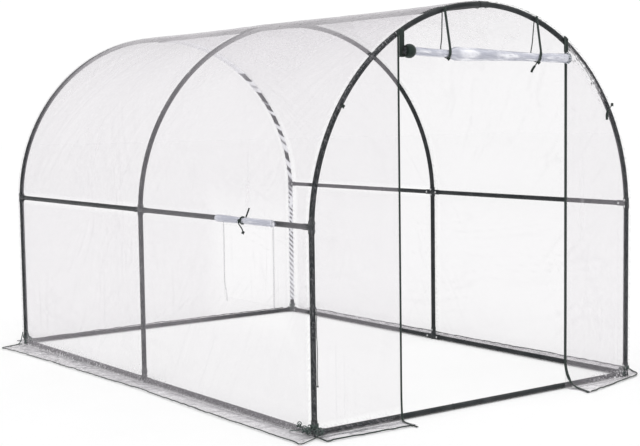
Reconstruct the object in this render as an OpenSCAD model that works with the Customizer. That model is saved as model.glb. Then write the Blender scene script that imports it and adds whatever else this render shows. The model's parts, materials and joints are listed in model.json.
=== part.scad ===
// Walk-in garden polytunnel: three steel hoops in two bays under a clear film cover.
// X runs across the tunnel, Y from the door end (-Y) to the plain end (+Y), Z up from the ground.

/* [Tunnel] */
// Width between the centrelines of the two legs of a hoop
tunnel_w = 2000; // [1500:10:3000]
// Length between the centrelines of the first and the last hoop
tunnel_l = 3000; // [2000:10:6000]
// Height at which the straight legs end and the round arch begins
leg_h = 872; // [700:1:1400]
// Height of the rails along the side walls
waist_h = 900; // [500:1:1300]

/* [Tubes] */
// Outer diameter of every frame tube
tube_d = 25; // [16:0.5:40]
// Angle above the spring line where an upright meets the crown piece
joint_angle = 32; // [15:1:60]
// Length of each socket of a fitting, measured from the middle of the node
socket_l = 55; // [35:1:90]
// Wall thickness of the fittings
fitting_wall = 1.5; // [1:0.1:4]

/* [Cover] */
// Thickness of the film as modelled
film_t = 1.5; // [1:0.1:4]
// Width of the skirt that lies on the ground outside the walls
skirt_w = 150; // [60:5:300]

/* [Door] */
// Width of the doorway between the middles of its two bound edges
door_w = 1060; // [600:5:1200]
// Shift of the middle of the doorway towards +X
door_shift = 0; // [-60:0.5:60]
// Height of the middle of the rolled-up door
door_roll_z = 1652; // [1100:1:1700]
// Diameter of the rolled-up door
door_roll_d = 50; // [30:1:90]
// Length of the rolled-up door
door_roll_l = 1030; // [500:5:1150]
// Diameter of the bound ends of the roll
door_end_d = 66; // [50:1:100]
// Length of the bound ends of the roll
door_end_l = 40; // [15:1:80]

/* [Window] */
// Width of the window in the left wall
window_w = 400; // [200:5:500]
// Height of the window sill above the ground
window_sill = 540; // [200:5:600]
// Distance from the first hoop to the middle of the window
window_mid = 466; // [300:5:700]
// Diameter of the rolled-up window flap
window_roll_d = 36; // [20:1:60]
// Length of the rolled-up window flap beyond each side of the window
window_roll_over = 27; // [5:1:60]

/* [Trim] */
// Width of the binding sewn along the door edges
binding_w = 16; // [8:1:30]
// Thickness of the bindings
binding_t = 3; // [1.5:0.1:6]
// Width of the binding beside the window
window_binding_w = 8; // [5:1:20]
// Width of the wide band beside the head of the doorway
head_band_w = 26; // [10:1:40]
// Width of the tapes that tie up the rolls
tape_w = 8; // [4:1:20]
// Thickness of the tie tapes
tape_t = 1; // [0.6:0.1:3]

/* [Hidden] */

$fn = 48;
arch_sides = 360;

// Clearances: tube in its socket, cover off the fittings, tape round a roll
socket_clear = 0.3;
cover_gap = 0.5;
tape_gap = 0.5;

// How far a cut runs past what it cuts
over = 5;

// Fittings
tube_r = tube_d / 2;
bore_r = tube_r + socket_clear;
fitting_r = bore_r + fitting_wall;
arch_r = tunnel_w / 2;
// A collar is straight, so its bore leaves room for the bow of the arch inside it
collar_bow = arch_r - sqrt(arch_r * arch_r - socket_l * socket_l / 4);
collar_bore_r = bore_r + collar_bow;
collar_r = collar_bore_r + fitting_wall;
foot_plate = fitting_wall;
base_lift = 1;
base_z = fitting_r + base_lift;

// Arch and hoops
apex_z = leg_h + arch_r;
foot_z = foot_plate + socket_clear;
front_y = -tunnel_l / 2;
rear_y = tunnel_l / 2;
LEFT = -1;
RIGHT = 1;

// Half the distance between the legs at the height of the waist rails
rise_at_waist = max(0, waist_h - leg_h);
waist_x = sqrt(arch_r * arch_r - rise_at_waist * rise_at_waist);
waist_tilt = asin(rise_at_waist / arch_r);

// Where a rail's cut end stops short of the tube that it meets
rail_stop = tube_r + socket_clear;

// Cover: inner face from the tube centrelines, and its outer outline
cover_in = collar_r + cover_gap;
cover_out = cover_in + film_t;
wall_x = arch_r + cover_in;
outline_r = arch_r + cover_out;
cover_half_l = tunnel_l / 2 + cover_in;
hem = cover_in + skirt_w;

// Doorway
door_left = door_shift - door_w / 2;
door_right = door_shift + door_w / 2;
end_face_y = front_y - cover_out;
door_roll_r = door_roll_d / 2;
door_end_r = door_end_d / 2;
band_step = 1;
band_t = 1.5;
roll_gap = 0.5;
door_roll_y = end_face_y - band_t - roll_gap - door_end_r;
left_tie_x = -268;
right_tie_x = 305;
tie_drop = 12;

// Window, whose head lies under the waist rail and no higher than the straight wall
window_y = front_y + window_mid;
window_head = min(waist_h - tube_r - cover_gap, leg_h);
window_roll_r = window_roll_d / 2;
window_roll_z = waist_h + 5;
window_roll_rise = max(0, window_roll_z - leg_h);
window_cover_x = sqrt(outline_r * outline_r - window_roll_rise * window_roll_rise);
window_roll_x = -(window_cover_x + 2 * tape_gap + tape_t + window_roll_r);
window_tie_y = window_y + 12;
window_tie_h = 60;
window_roll_l = window_w + 2 * window_roll_over;
// The film is cut back under the two bindings, and up through the spring line where it gets there
window_cut_w = window_w + 2 * window_binding_w;
window_cut_h = window_head - window_sill + (window_head < leg_h ? 0 : over);

// Free ends of the ties and a loose string, as offsets from where each one leaves
tail_d = 6;
string_d = 4;
cord_sides = 8;
cord_gap = 0.2;
right_tail_route = [[0, 0, 0], [0, 0, -7], [-3, -1, -13], [-8, -1, -19], [-13, -2, -24],
  [-18, -2, -29], [-23, -2, -34], [-28, -1, -39], [-33, -1, -44], [-37, 0, -50], [-41, 0, -56],
  [-44, 0, -63]];
window_tail_route = [[0, 0, 0], [-1, -1, -7], [-1, -5, -14], [0, -10, -20], [1, -16, -26],
  [2, -22, -32], [2, -28, -38], [1, -33, -45], [0, -37, -52]];
leg_string_route = [[0, 0, 0], [2, 0, -5], [5, 0, -11], [7, 0, -20], [8, 1, -32], [7, 1, -44],
  [6, 2, -56], [5, 2, -68], [5, 2, -80], [5, 2, -92], [5, 2, -104], [5, 1, -116], [5, 1, -128],
  [5, 0, -140], [6, 0, -152], [6, 0, -164], [7, 0, -176], [7, 0, -188], [7, 0, -200],
  [7, 0, -212], [7, 0, -224], [6, 0, -236], [6, 0, -248], [6, 0, -260], [5, 0, -272],
  [5, 0, -284], [5, 0, -296], [5, 0, -308], [6, 0, -320], [6, 0, -332], [6, 0, -345]];
leg_string_z = 560;

tube_colour = [0.25, 0.27, 0.27];
fitting_colour = [0.3, 0.32, 0.32];
film_colour = [0.93, 0.93, 0.95, 0.4];
binding_colour = [0.1, 0.16, 0.13];
string_colour = [0.12, 0.17, 0.14];

// ---- Frame tubes ----

// Part of an arch between two angles, measured from +X up over the apex
module arc_tube(from, to, y) {
  translate([0, y, leg_h])
    rotate([90, 0, 0])
      rotate([0, 0, from])
        rotate_extrude(angle = to - from, $fn = arch_sides)
          translate([arch_r, 0])
            circle(r = tube_r);
}

// Straight tube along Y between two places
module tube_y(x, z, from, to, r = tube_r) {
  translate([x, from, z])
    rotate([-90, 0, 0])
      cylinder(r = r, h = to - from);
}

// What is drawn for the right side, mirrored for the left
module on_side(side) {
  mirror([side == LEFT ? 1 : 0, 0, 0]) children();
}

// Leg of a hoop with the start of the arch, bent from one tube
module upright(side, y) {
  color(tube_colour)
    on_side(side) {
      translate([arch_r, y, foot_z]) cylinder(r = tube_r, h = leg_h - foot_z);
      arc_tube(0, joint_angle, y);
    }
}

module crown(y) {
  color(tube_colour) arc_tube(joint_angle, 180 - joint_angle, y);
}

// Rail across an end, between the two legs of one hoop
module cross_rail(y) {
  color(tube_colour)
    translate([-arch_r + rail_stop, y, base_z])
      rotate([0, 90, 0])
        cylinder(r = tube_r, h = tunnel_w - 2 * rail_stop);
}

// Rail along one bay, between the hoops at two places
module bay_rail(x, z, from, to) {
  color(tube_colour) tube_y(x, z, from + rail_stop, to - rail_stop);
}

// ---- Fittings ----

// Horizontal sockets that leave a point in the given directions
module sockets(r, directions, l) {
  for (a = directions)
    rotate([0, 90, a])
      cylinder(r = r, h = l);
}

// Foot with a socket for the leg and one for each base rail
module base_fitting(side, y, directions) {
  translate([side * arch_r, y, 0])
    difference() {
      union() {
        cylinder(r = fitting_r, h = base_z + socket_l);
        translate([0, 0, base_z]) sockets(fitting_r, directions, socket_l);
      }
      translate([0, 0, foot_plate]) cylinder(r = bore_r, h = base_z + socket_l);
      translate([0, 0, base_z]) sockets(bore_r, directions, socket_l + over);
    }
}

// Straight collar along Z with sockets that leave its middle
module collar(directions) {
  difference() {
    union() {
      cylinder(r = collar_r, h = socket_l, center = true);
      sockets(fitting_r, directions, socket_l);
    }
    cylinder(r = collar_bore_r, h = socket_l + over, center = true);
    sockets(bore_r, directions, socket_l + over);
  }
}

// Collar round a hoop at the height of the waist rails, with a socket for each rail
module waist_fitting(side, y, directions) {
  on_side(side)
    translate([waist_x, y, waist_h])
      rotate([0, -waist_tilt, 0])
        collar(directions);
}

// Collar round the top of a hoop, with a socket for each ridge rail
module ridge_fitting(y, directions) {
  translate([0, y, apex_z])
    rotate([0, 90, 0])
      collar(directions);
}

module base_fittings() {
  color(fitting_colour)
    for (side = [LEFT, RIGHT]) {
      inward = side == LEFT ? 0 : 180;
      base_fitting(side, front_y, [inward, 90]);
      base_fitting(side, 0, [90, -90]);
      base_fitting(side, rear_y, [inward, -90]);
    }
}

module waist_fittings() {
  color(fitting_colour)
    for (side = [LEFT, RIGHT]) {
      waist_fitting(side, front_y, [90]);
      waist_fitting(side, 0, [90, -90]);
      waist_fitting(side, rear_y, [-90]);
    }
}

module ridge_fittings() {
  color(fitting_colour) {
    ridge_fitting(front_y, [90]);
    ridge_fitting(0, [90, -90]);
    ridge_fitting(rear_y, [-90]);
  }
}

// ---- Cover ----

// Straight side of the cover, from the skirt up to the spring line
module side_wall(side) {
  translate([side == LEFT ? -wall_x - film_t : wall_x, -cover_half_l, film_t])
    cube([film_t, 2 * cover_half_l, leg_h - film_t]);
}

module left_wall_film() {
  color(film_colour)
    difference() {
      side_wall(LEFT);
      translate([-wall_x - film_t - over, window_y - window_cut_w / 2, window_sill])
        cube([film_t + 2 * over, window_cut_w, window_cut_h]);
    }
}

module right_wall_film() {
  color(film_colour) side_wall(RIGHT);
}

// Strip of the arched cover between two angles
module roof_strip(from, to) {
  color(film_colour)
    translate([0, 0, leg_h])
      rotate([90, 0, 0])
        rotate([0, 0, from])
          rotate_extrude(angle = to - from, $fn = arch_sides)
            translate([arch_r + cover_in, -cover_half_l])
              square([film_t, 2 * cover_half_l]);
}

// Outline of an end, seen along Y: straight sides under a round top
module end_outline() {
  translate([-outline_r, film_t]) square([2 * outline_r, leg_h - film_t]);
  translate([0, leg_h]) circle(r = outline_r, $fn = arch_sides);
}

// The part of an end between two places across it and above a height
module end_slab(from, to, bottom, t = film_t, y = front_y - cover_in) {
  translate([0, y, 0])
    rotate([90, 0, 0])
      linear_extrude(height = t)
        intersection() {
          end_outline();
          translate([from, bottom]) square([to - from, apex_z + cover_out + over - bottom]);
        }
}

module front_left_panel() {
  color(film_colour) end_slab(-outline_r, door_left - binding_w / 2, film_t);
}

module front_right_panel() {
  color(film_colour) end_slab(door_right + binding_w / 2, outline_r, film_t);
}

module door_head_panel() {
  half_binding = binding_w / 2;
  color(film_colour) end_slab(door_left + half_binding, door_right - half_binding, door_roll_z);
}

module rear_panel() {
  color(film_colour) end_slab(-outline_r, outline_r, film_t, film_t, rear_y + cover_out);
}

// Strips of film that lie on the ground outside the cover
module side_skirt(side) {
  translate([side == LEFT ? -arch_r - hem : wall_x, -cover_half_l - film_t, 0])
    cube([skirt_w, 2 * (cover_half_l + film_t), film_t]);
}

module end_skirt(from, to, y) {
  translate([from, y, 0]) cube([to - from, skirt_w, film_t]);
}

module side_skirts() {
  color(film_colour)
    for (side = [LEFT, RIGHT]) side_skirt(side);
}

module end_skirts() {
  inside = wall_x - cover_gap;
  color(film_colour) {
    end_skirt(-inside, door_left - binding_w / 2, front_y - hem);
    end_skirt(door_right + binding_w / 2, inside, front_y - hem);
    end_skirt(-inside, inside, rear_y + cover_in);
  }
}

// ---- Rolled-up door and window, their ties and bindings ----

module door_roll() {
  color(film_colour)
    translate([door_shift - door_roll_l / 2, door_roll_y, door_roll_z])
      rotate([0, 90, 0]) {
        cylinder(r = door_roll_r, h = door_roll_l);
        for (at = [0, door_roll_l - door_end_l])
          translate([0, 0, at]) cylinder(d = door_end_d, h = door_end_l);
      }
}

module window_roll() {
  color(film_colour)
    tube_y(window_roll_x, window_roll_z, window_y - window_roll_l / 2,
           window_y + window_roll_l / 2, window_roll_r);
}

// Angle on a circle of radius r where a line from the point (x, h) touches it, to one side
function touch(r, x, h, side) = atan2(h, x) + side * acos(r / norm([x, h]));

// Outline of a tape slung under a roll of radius r and sewn on at a point (x, h) from its middle.
// Its sides run just inside the tangents, so that they cross the circle cleanly.
module sling_outline(r, x, h) {
  s = r - tape_t / 10;
  a = touch(s, x, h, -1);
  b = touch(s, x, h, 1);
  circle(r = r);
  polygon([[0, 0], [s * cos(a), s * sin(a)], [x, h], [s * cos(b), s * sin(b)]]);
}

// Loop of tape of width w round a roll, sewn on at height h with its outer face at x
module sling(r, h, w, x) {
  linear_extrude(height = w)
    difference() {
      sling_outline(r + tape_gap + tape_t, x, h);
      sling_outline(r + tape_gap, x - tape_t, h - 4 * tape_t);
    }
}

// Tape round the door roll, hung from the hoop at a place across the end
module door_tie(x) {
  drop = leg_h + sqrt(outline_r * outline_r - x * x) - tie_drop - door_roll_z;
  back = end_face_y - tape_gap - door_roll_y;
  translate([x - tape_w / 2, door_roll_y, door_roll_z])
    rotate([90, 0, 90])
      sling(door_roll_r, drop, tape_w, back);
}

module door_ties() {
  color(binding_colour) {
    door_tie(left_tie_x);
    door_tie(right_tie_x);
  }
}

module window_tie() {
  color(binding_colour)
    translate([window_roll_x, window_tie_y + tape_w / 2, window_roll_z])
      rotate([90, 0, 0])
        sling(window_roll_r, window_tie_h, tape_w, window_roll_r + tape_gap + tape_t);
}

module window_binding(y) {
  translate([-wall_x - binding_t, y - window_binding_w / 2, window_sill])
    cube([binding_t, window_binding_w, window_head - window_sill]);
}

module edge_bindings() {
  color(binding_colour) {
    for (x = [door_left, door_right])
      end_slab(x - binding_w / 2, x + binding_w / 2, film_t, binding_t);
    band_from = door_left + binding_w / 2 + band_step;
    end_slab(band_from, band_from + head_band_w, door_roll_z, band_t, end_face_y);
    for (s = [-1, 1])
      window_binding(window_y + s * (window_w + window_binding_w) / 2);
  }
}

// ---- Cords ----

function unit(v) = v / norm(v);

// Direction of a route at one of its points
function heading(route, i) =
  unit(route[min(i + 1, len(route) - 1)] - route[max(i - 1, 0)]);

// Corner j of the ring of a cord of radius r round point i of its route
function ring_point(route, i, j, r) =
  let (along = heading(route, i),
       across = unit(cross(along, [0, 1, 0])),
       other = cross(along, across),
       a = 360 * j / cord_sides)
  route[i] + r * (cos(a) * across + sin(a) * other);

// Plain tube along a route
module cord(route, at, d) {
  last = len(route) - 1;
  rings = [for (i = [0 : last], j = [0 : cord_sides - 1]) ring_point(route, i, j, d / 2)];
  sides = [
    for (i = [0 : last - 1], j = [0 : cord_sides - 1])
      let (k = (j + 1) % cord_sides, a = i * cord_sides, b = a + cord_sides)
      [a + j, b + j, b + k, a + k]
  ];
  first_cap = [for (j = [0 : cord_sides - 1]) j];
  last_cap = [for (j = [cord_sides - 1 : -1 : 0]) last * cord_sides + j];
  color(string_colour)
    translate(at)
      polyhedron(points = rings, faces = concat(sides, [first_cap, last_cap]));
}

// Free end of the right door tie, from just under the roll
module right_door_tie_tail() {
  under_roll = door_roll_z - door_roll_r - tape_gap - tape_t - cord_gap;
  cord(right_tail_route, [right_tie_x, door_roll_y, under_roll], tail_d);
}

// Free end of the window tie, from its knot on the outer side of the roll
module window_tie_tail() {
  knot_x = window_roll_x - window_roll_r - tape_gap - tape_t - cord_gap - tail_d / 2;
  cord(window_tail_route, [knot_x, window_tie_y, window_roll_z], tail_d);
}

// String tied to the first left leg
module leg_string() {
  cord(leg_string_route, [-arch_r + tube_r + cord_gap + string_d / 2, front_y, leg_string_z],
       string_d);
}

// Each if line draws one node and no other line draws anything
upright(LEFT, front_y);  // front_left_upright
upright(RIGHT, front_y);  // front_right_upright
crown(front_y);  // front_crown
upright(LEFT, 0);  // middle_left_upright
upright(RIGHT, 0);  // middle_right_upright
crown(0);  // middle_crown
upright(LEFT, rear_y);  // rear_left_upright
upright(RIGHT, rear_y);  // rear_right_upright
crown(rear_y);  // rear_crown
cross_rail(front_y);  // front_base_rail
cross_rail(rear_y);  // rear_base_rail
bay_rail(-arch_r, base_z, front_y, 0);  // left_front_base_rail
bay_rail(-arch_r, base_z, 0, rear_y);  // left_rear_base_rail
bay_rail(arch_r, base_z, front_y, 0);  // right_front_base_rail
bay_rail(arch_r, base_z, 0, rear_y);  // right_rear_base_rail
bay_rail(-waist_x, waist_h, front_y, 0);  // left_front_waist_rail
bay_rail(-waist_x, waist_h, 0, rear_y);  // left_rear_waist_rail
bay_rail(waist_x, waist_h, front_y, 0);  // right_front_waist_rail
bay_rail(waist_x, waist_h, 0, rear_y);  // right_rear_waist_rail
bay_rail(0, apex_z, front_y, 0);  // front_ridge_rail
bay_rail(0, apex_z, 0, rear_y);  // rear_ridge_rail
base_fittings();
waist_fittings();
ridge_fittings();
left_wall_film();
right_wall_film();
roof_strip(135, 180);  // left_lower_roof_film
roof_strip(90, 135);  // left_upper_roof_film
roof_strip(45, 90);  // right_upper_roof_film
roof_strip(0, 45);  // right_lower_roof_film
front_left_panel();
front_right_panel();
door_head_panel();
rear_panel();
side_skirts();
end_skirts();
door_roll();
window_roll();
door_ties();
window_tie();
edge_bindings();
right_door_tie_tail();
window_tie_tail();
leg_string();
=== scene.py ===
"""Looks of a walk-in garden polytunnel, built round its CAD frame. All lengths are metres."""

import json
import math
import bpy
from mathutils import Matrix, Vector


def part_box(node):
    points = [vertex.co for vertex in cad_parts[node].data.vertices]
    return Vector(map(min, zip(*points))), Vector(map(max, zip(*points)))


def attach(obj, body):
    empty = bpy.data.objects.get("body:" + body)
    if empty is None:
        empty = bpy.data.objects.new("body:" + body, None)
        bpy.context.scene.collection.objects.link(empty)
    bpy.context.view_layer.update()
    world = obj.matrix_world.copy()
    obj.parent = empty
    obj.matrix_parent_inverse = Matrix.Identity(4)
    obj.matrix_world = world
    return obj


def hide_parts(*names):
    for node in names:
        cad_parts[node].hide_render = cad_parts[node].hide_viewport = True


bl_info = {
    "name": "Garden Polytunnel",
    "version": (1, 0, 0),
    "blender": (4, 5, 0),
    "location": "3D View > Sidebar > Polytunnel",
    "description": "Builds the film cover, rolls, ties, bindings and finishes of a garden polytunnel",
    "category": "Object",
}

import bpy
import numpy as np
from bpy.props import FloatProperty, FloatVectorProperty, IntProperty, PointerProperty
from mathutils import Matrix, Vector

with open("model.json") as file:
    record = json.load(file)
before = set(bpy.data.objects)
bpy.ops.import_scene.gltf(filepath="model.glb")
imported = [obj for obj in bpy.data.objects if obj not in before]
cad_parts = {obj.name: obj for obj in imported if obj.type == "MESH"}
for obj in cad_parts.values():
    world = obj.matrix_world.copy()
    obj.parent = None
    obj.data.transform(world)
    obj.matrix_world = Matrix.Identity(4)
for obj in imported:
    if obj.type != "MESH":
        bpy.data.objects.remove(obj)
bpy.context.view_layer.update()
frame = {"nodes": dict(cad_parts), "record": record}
BODY = "root"

# ---- Places read from the frame ----

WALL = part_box("left_wall_film")
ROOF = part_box("left_upper_roof_film")
FILM_T = WALL[1].x - WALL[0].x
SPRING_Z = WALL[1].z
COVER_R = ROOF[1].z - SPRING_Z - FILM_T / 2
COVER_Y = WALL[1].y + FILM_T / 2
HEM_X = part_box("side_skirts")[1].x
HEM_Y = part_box("end_skirts")[1].y
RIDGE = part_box("front_ridge_rail")
TUBE_R = (RIDGE[1].z - RIDGE[0].z) / 2
ARCH_R = (RIDGE[0].z + RIDGE[1].z) / 2 - SPRING_Z
BASE_Z = sum(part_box("front_base_rail")[i].z for i in (0, 1)) / 2
WAIST_Z = sum(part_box("left_front_waist_rail")[i].z for i in (0, 1)) / 2
WAIST_X = sum(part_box("right_front_waist_rail")[i].x for i in (0, 1)) / 2
HOOP_Y = [sum(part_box(n + "_crown")[i].y for i in (0, 1)) / 2 for n in ("front", "middle", "rear")]
BINDING_W = 0.016
HEAD_BAND_W = 0.028
HEAD_STRIP_W = 0.011
DOOR_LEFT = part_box("front_left_panel")[1].x + BINDING_W / 2
DOOR_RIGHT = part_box("front_right_panel")[0].x - BINDING_W / 2
DOOR_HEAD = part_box("door_head_panel")[0].z
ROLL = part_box("door_roll")
ROLL_Y = (ROLL[0].y + ROLL[1].y) / 2
ROLL_Z = (ROLL[0].z + ROLL[1].z) / 2
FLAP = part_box("window_roll")
FLAP_X = (FLAP[0].x + FLAP[1].x) / 2
FLAP_Z = (FLAP[0].z + FLAP[1].z) / 2
FLAP_R = (FLAP[1].z - FLAP[0].z) / 2
OPENINGS = {o["name"]: o["box_m"] for o in frame["record"]["physics"]["openings"]}
CLEAR = 0.01
WINDOW_Y = (OPENINGS["window"][0][1] - CLEAR, OPENINGS["window"][1][1] + CLEAR)
WINDOW_Z = (OPENINGS["window"][0][2] - CLEAR, SPRING_Z)
FACE_Y = -COVER_Y

# ---- Settings ----


class PolytunnelSettings(bpy.types.PropertyGroup):
    """Sizes and colours of the soft parts and finishes"""

    crease_depth: FloatProperty(
        name="Crease depth", description="Height of the creases in the cover film",
        default=0.004, min=0, max=0.02, unit="LENGTH")
    sag: FloatProperty(
        name="Sag", description="How far the film hangs in between two hoops",
        default=0.006, min=0, max=0.03, unit="LENGTH")
    haze: FloatProperty(
        name="Haze", description="How much of what is behind it the film hides",
        default=0.17, min=0, max=1, subtype="FACTOR")
    film_colour: FloatVectorProperty(
        name="Film", description="Colour of the cover film",
        default=(0.65, 0.605, 0.655), min=0, max=1, size=3, subtype="COLOR")
    tube_colour: FloatVectorProperty(
        name="Tubes", description="Colour of the painted frame",
        default=(0.013, 0.016, 0.018), min=0, max=1, size=3, subtype="COLOR")
    binding_colour: FloatVectorProperty(
        name="Bindings", description="Colour of the sewn bindings, tapes and strings",
        default=(0.012, 0.022, 0.018), min=0, max=1, size=3, subtype="COLOR")
    roll_turns: IntProperty(
        name="Door turns", description="How often the door is rolled round itself",
        default=15, min=4, max=30)
    flap_turns: IntProperty(
        name="Flap turns", description="How often the window flap is rolled round itself",
        default=6, min=2, max=12)
    stitch_pitch: FloatProperty(
        name="Stitch pitch", description="Distance from one stitch to the next",
        default=0.010, min=0.004, max=0.03, unit="LENGTH")
    bolt_d: FloatProperty(
        name="Bolt head", description="Diameter of the heads of the frame bolts",
        default=0.010, min=0.004, max=0.02, unit="LENGTH")


def settings():
    return bpy.context.scene.polytunnel


# ---- Node helpers ----


class Wiring:
    """Adds nodes to a tree and joins them, with plain numbers set on their sockets"""

    def __init__(self, tree):
        self.tree = tree

    def node(self, kind, inputs=None, **values):
        made = self.tree.nodes.new(kind)
        for key, value in values.items():
            setattr(made, key, value)
        for key, value in (inputs or {}).items():
            self.feed(made.inputs[key], value)
        return made

    def feed(self, socket, value):
        if isinstance(value, bpy.types.NodeSocket):
            self.tree.links.new(value, socket)
        elif isinstance(value, bpy.types.Node):
            self.tree.links.new(value.outputs[0], socket)
        elif value is not None:
            socket.default_value = value

    def maths(self, operation, a, b=None, c=None, clamp=False):
        inputs = {i: v for i, v in enumerate((a, b, c)) if v is not None}
        return self.node("ShaderNodeMath", inputs, operation=operation, use_clamp=clamp).outputs[0]

    def span(self, value, from_low, from_high, to_low, to_high):
        """A value moved from one range to another, and held inside it"""
        return self.node("ShaderNodeMapRange", {
            "Value": value, "From Min": from_low, "From Max": from_high,
            "To Min": to_low, "To Max": to_high}).outputs["Result"]

    def mix(self, share, a, b):
        made = self.node("ShaderNodeMix", data_type="RGBA")
        for name, value in (("Factor", share), ("A", a), ("B", b)):
            found = [s for s in made.inputs if s.name == name and (
                s.type == ("VALUE" if name == "Factor" else "RGBA"))][0]
            if isinstance(value, (tuple, list)):
                value = (*value[:3], 1)
            self.feed(found, value)
        return [s for s in made.outputs if s.type == "RGBA"][0]

    def group(self, name, inputs):
        made = self.tree.nodes.new("ShaderNodeGroup")
        made.node_tree = bpy.data.node_groups[name]
        for key, value in inputs.items():
            if isinstance(value, (tuple, list)) and len(value) == 3 and (
                    made.inputs[key].type == "RGBA"):
                value = (*value, 1)
            self.feed(made.inputs[key], value)
        return made


def new_group(name, kind, inputs, outputs):
    """A node group with named sockets, as (wiring, its input node, its output node)"""
    tree = bpy.data.node_groups.new(name, kind)
    for label, socket, value in inputs:
        made = tree.interface.new_socket(name=label, in_out="INPUT", socket_type=socket)
        if value is not None:
            made.default_value = value
    for label, socket in outputs:
        tree.interface.new_socket(name=label, in_out="OUTPUT", socket_type=socket)
    return Wiring(tree), tree.nodes.new("NodeGroupInput"), tree.nodes.new("NodeGroupOutput")


# ---- Shared shader groups ----


def make_dust_group():
    """Soft blotches of dust and haze, and a fine grain, over Object coordinates"""
    w, given, out = new_group(
        "Dust", "ShaderNodeTree",
        [("Vector", "NodeSocketVector", None), ("Blotch Scale", "NodeSocketFloat", 6.0),
         ("Grain Scale", "NodeSocketFloat", 400.0), ("Amount", "NodeSocketFloat", 0.5)],
        [("Mask", "NodeSocketFloat"), ("Grain", "NodeSocketFloat")])
    blotch = w.node("ShaderNodeTexNoise", {
        "Vector": given.outputs["Vector"], "Scale": given.outputs["Blotch Scale"],
        "Detail": 4.0, "Roughness": 0.6})
    grain = w.node("ShaderNodeTexNoise", {
        "Vector": given.outputs["Vector"], "Scale": given.outputs["Grain Scale"], "Detail": 2.0})
    lifted = w.span(blotch.outputs[0], 0.42, 0.68, 0.0, 1.0)
    w.feed(out.inputs["Mask"], w.maths("MULTIPLY", lifted, given.outputs["Amount"], clamp=True))
    w.feed(out.inputs["Grain"], grain.outputs[0])


def make_wear_group():
    """Rubbed streaks and small chips in paint, as a mask and a height"""
    w, given, out = new_group(
        "Wear", "ShaderNodeTree",
        [("Vector", "NodeSocketVector", None), ("Streak Scale", "NodeSocketFloat", 30.0),
         ("Chip Scale", "NodeSocketFloat", 90.0), ("Chip Share", "NodeSocketFloat", 0.04)],
        [("Streaks", "NodeSocketFloat"), ("Chips", "NodeSocketFloat"), ("Height", "NodeSocketFloat")])
    streak = w.node("ShaderNodeTexNoise", {
        "Vector": given.outputs["Vector"], "Scale": given.outputs["Streak Scale"],
        "Detail": 5.0, "Roughness": 0.7, "Distortion": 0.6})
    chip = w.node("ShaderNodeTexVoronoi", {
        "Vector": given.outputs["Vector"], "Scale": given.outputs["Chip Scale"]})
    chips = w.maths("LESS_THAN", chip.outputs["Distance"], given.outputs["Chip Share"])
    streaks = w.span(streak.outputs[0], 0.5, 0.75, 0.0, 1.0)
    w.feed(out.inputs["Streaks"], streaks)
    w.feed(out.inputs["Chips"], chips)
    w.feed(out.inputs["Height"], w.maths("SUBTRACT", streak.outputs[0], chips))


def make_weave_group():
    """Over and under threads of a woven tape or the lay of a string, over its own UV map"""
    w, given, out = new_group(
        "Weave", "ShaderNodeTree",
        [("Vector", "NodeSocketVector", None), ("Threads", "NodeSocketFloat", 900.0),
         ("Colour", "NodeSocketColor", (0.02, 0.02, 0.02, 1)),
         ("Worn Colour", "NodeSocketColor", (0.2, 0.2, 0.2, 1))],
        [("Colour", "NodeSocketColor"), ("Height", "NodeSocketFloat")])
    parts = w.node("ShaderNodeSeparateXYZ", {0: given.outputs["Vector"]})
    waves = []
    for axis in ("X", "Y"):
        angle = w.maths("MULTIPLY", parts.outputs[axis], given.outputs["Threads"])
        waves.append(w.maths("SINE", angle))
    crossed = w.maths("MULTIPLY", waves[0], waves[1])
    height = w.span(crossed, -1.0, 1.0, 0.0, 1.0)
    fluff = w.node("ShaderNodeTexNoise", {
        "Vector": given.outputs["Vector"], "Scale": 60.0, "Detail": 4.0})
    share = w.span(w.maths("MULTIPLY", height, fluff.outputs[0]), 0.25, 0.8, 0.0, 0.55)
    w.feed(out.inputs["Colour"], w.mix(share, given.outputs["Colour"], given.outputs["Worn Colour"]))
    w.feed(out.inputs["Height"], height)


def make_glint_shade_group():
    """Small painted glints and painted dark shade flecks of gathered film, and the fine hatching that breaks
    up the painted shade of film laid on the ground
    """
    w, given, out = new_group(
        "Gathers", "ShaderNodeTree",
        [("Vector", "NodeSocketVector", None), ("Fleck Scale", "NodeSocketFloat", 42.0),
         ("Hatch Scale", "NodeSocketFloat", 120.0)],
        [("Light", "NodeSocketFloat"), ("Dark", "NodeSocketFloat"), ("Hatch", "NodeSocketFloat")])
    parts = w.node("ShaderNodeSeparateXYZ", {0: given.outputs["Vector"]})
    u, v = parts.outputs["X"], parts.outputs["Y"]

    def lines(a, b, long, short, scale, low, high):
        spot = w.node("ShaderNodeCombineXYZ", {
            "X": w.maths("MULTIPLY", w.maths("MULTIPLY", a, long), scale),
            "Y": w.maths("MULTIPLY", w.maths("MULTIPLY", b, short), scale)})
        made = w.node("ShaderNodeTexNoise", {"Vector": spot.outputs[0], "Scale": 1.0, "Detail": 2.0})
        return w.span(made.outputs[0], low, high, 0.0, 1.0)

    slant, square = w.maths("ADD", u, v), w.maths("SUBTRACT", u, v)
    fleck, hatch = given.outputs["Fleck Scale"], given.outputs["Hatch Scale"]
    w.feed(out.inputs["Light"], lines(slant, square, 2.4, 0.7, fleck, 0.54, 0.62))
    w.feed(out.inputs["Dark"], lines(slant, square, 2.2, 0.5, fleck, 0.57, 0.64))
    w.feed(out.inputs["Hatch"], w.maths(
        "MAXIMUM", lines(u, v, 0.08, 1.0, hatch, 0.50, 0.68), lines(u, v, 1.2, 0.05, hatch, 0.54, 0.70)))


def new_material(name):
    """A material with nothing but its Principled shader and output, as (material, wiring, shader)"""
    material = bpy.data.materials.new(name)
    material.use_nodes = True
    material.use_backface_culling = False
    nodes = material.node_tree.nodes
    shader = nodes["Principled BSDF"]
    return material, Wiring(material.node_tree), shader


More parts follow.
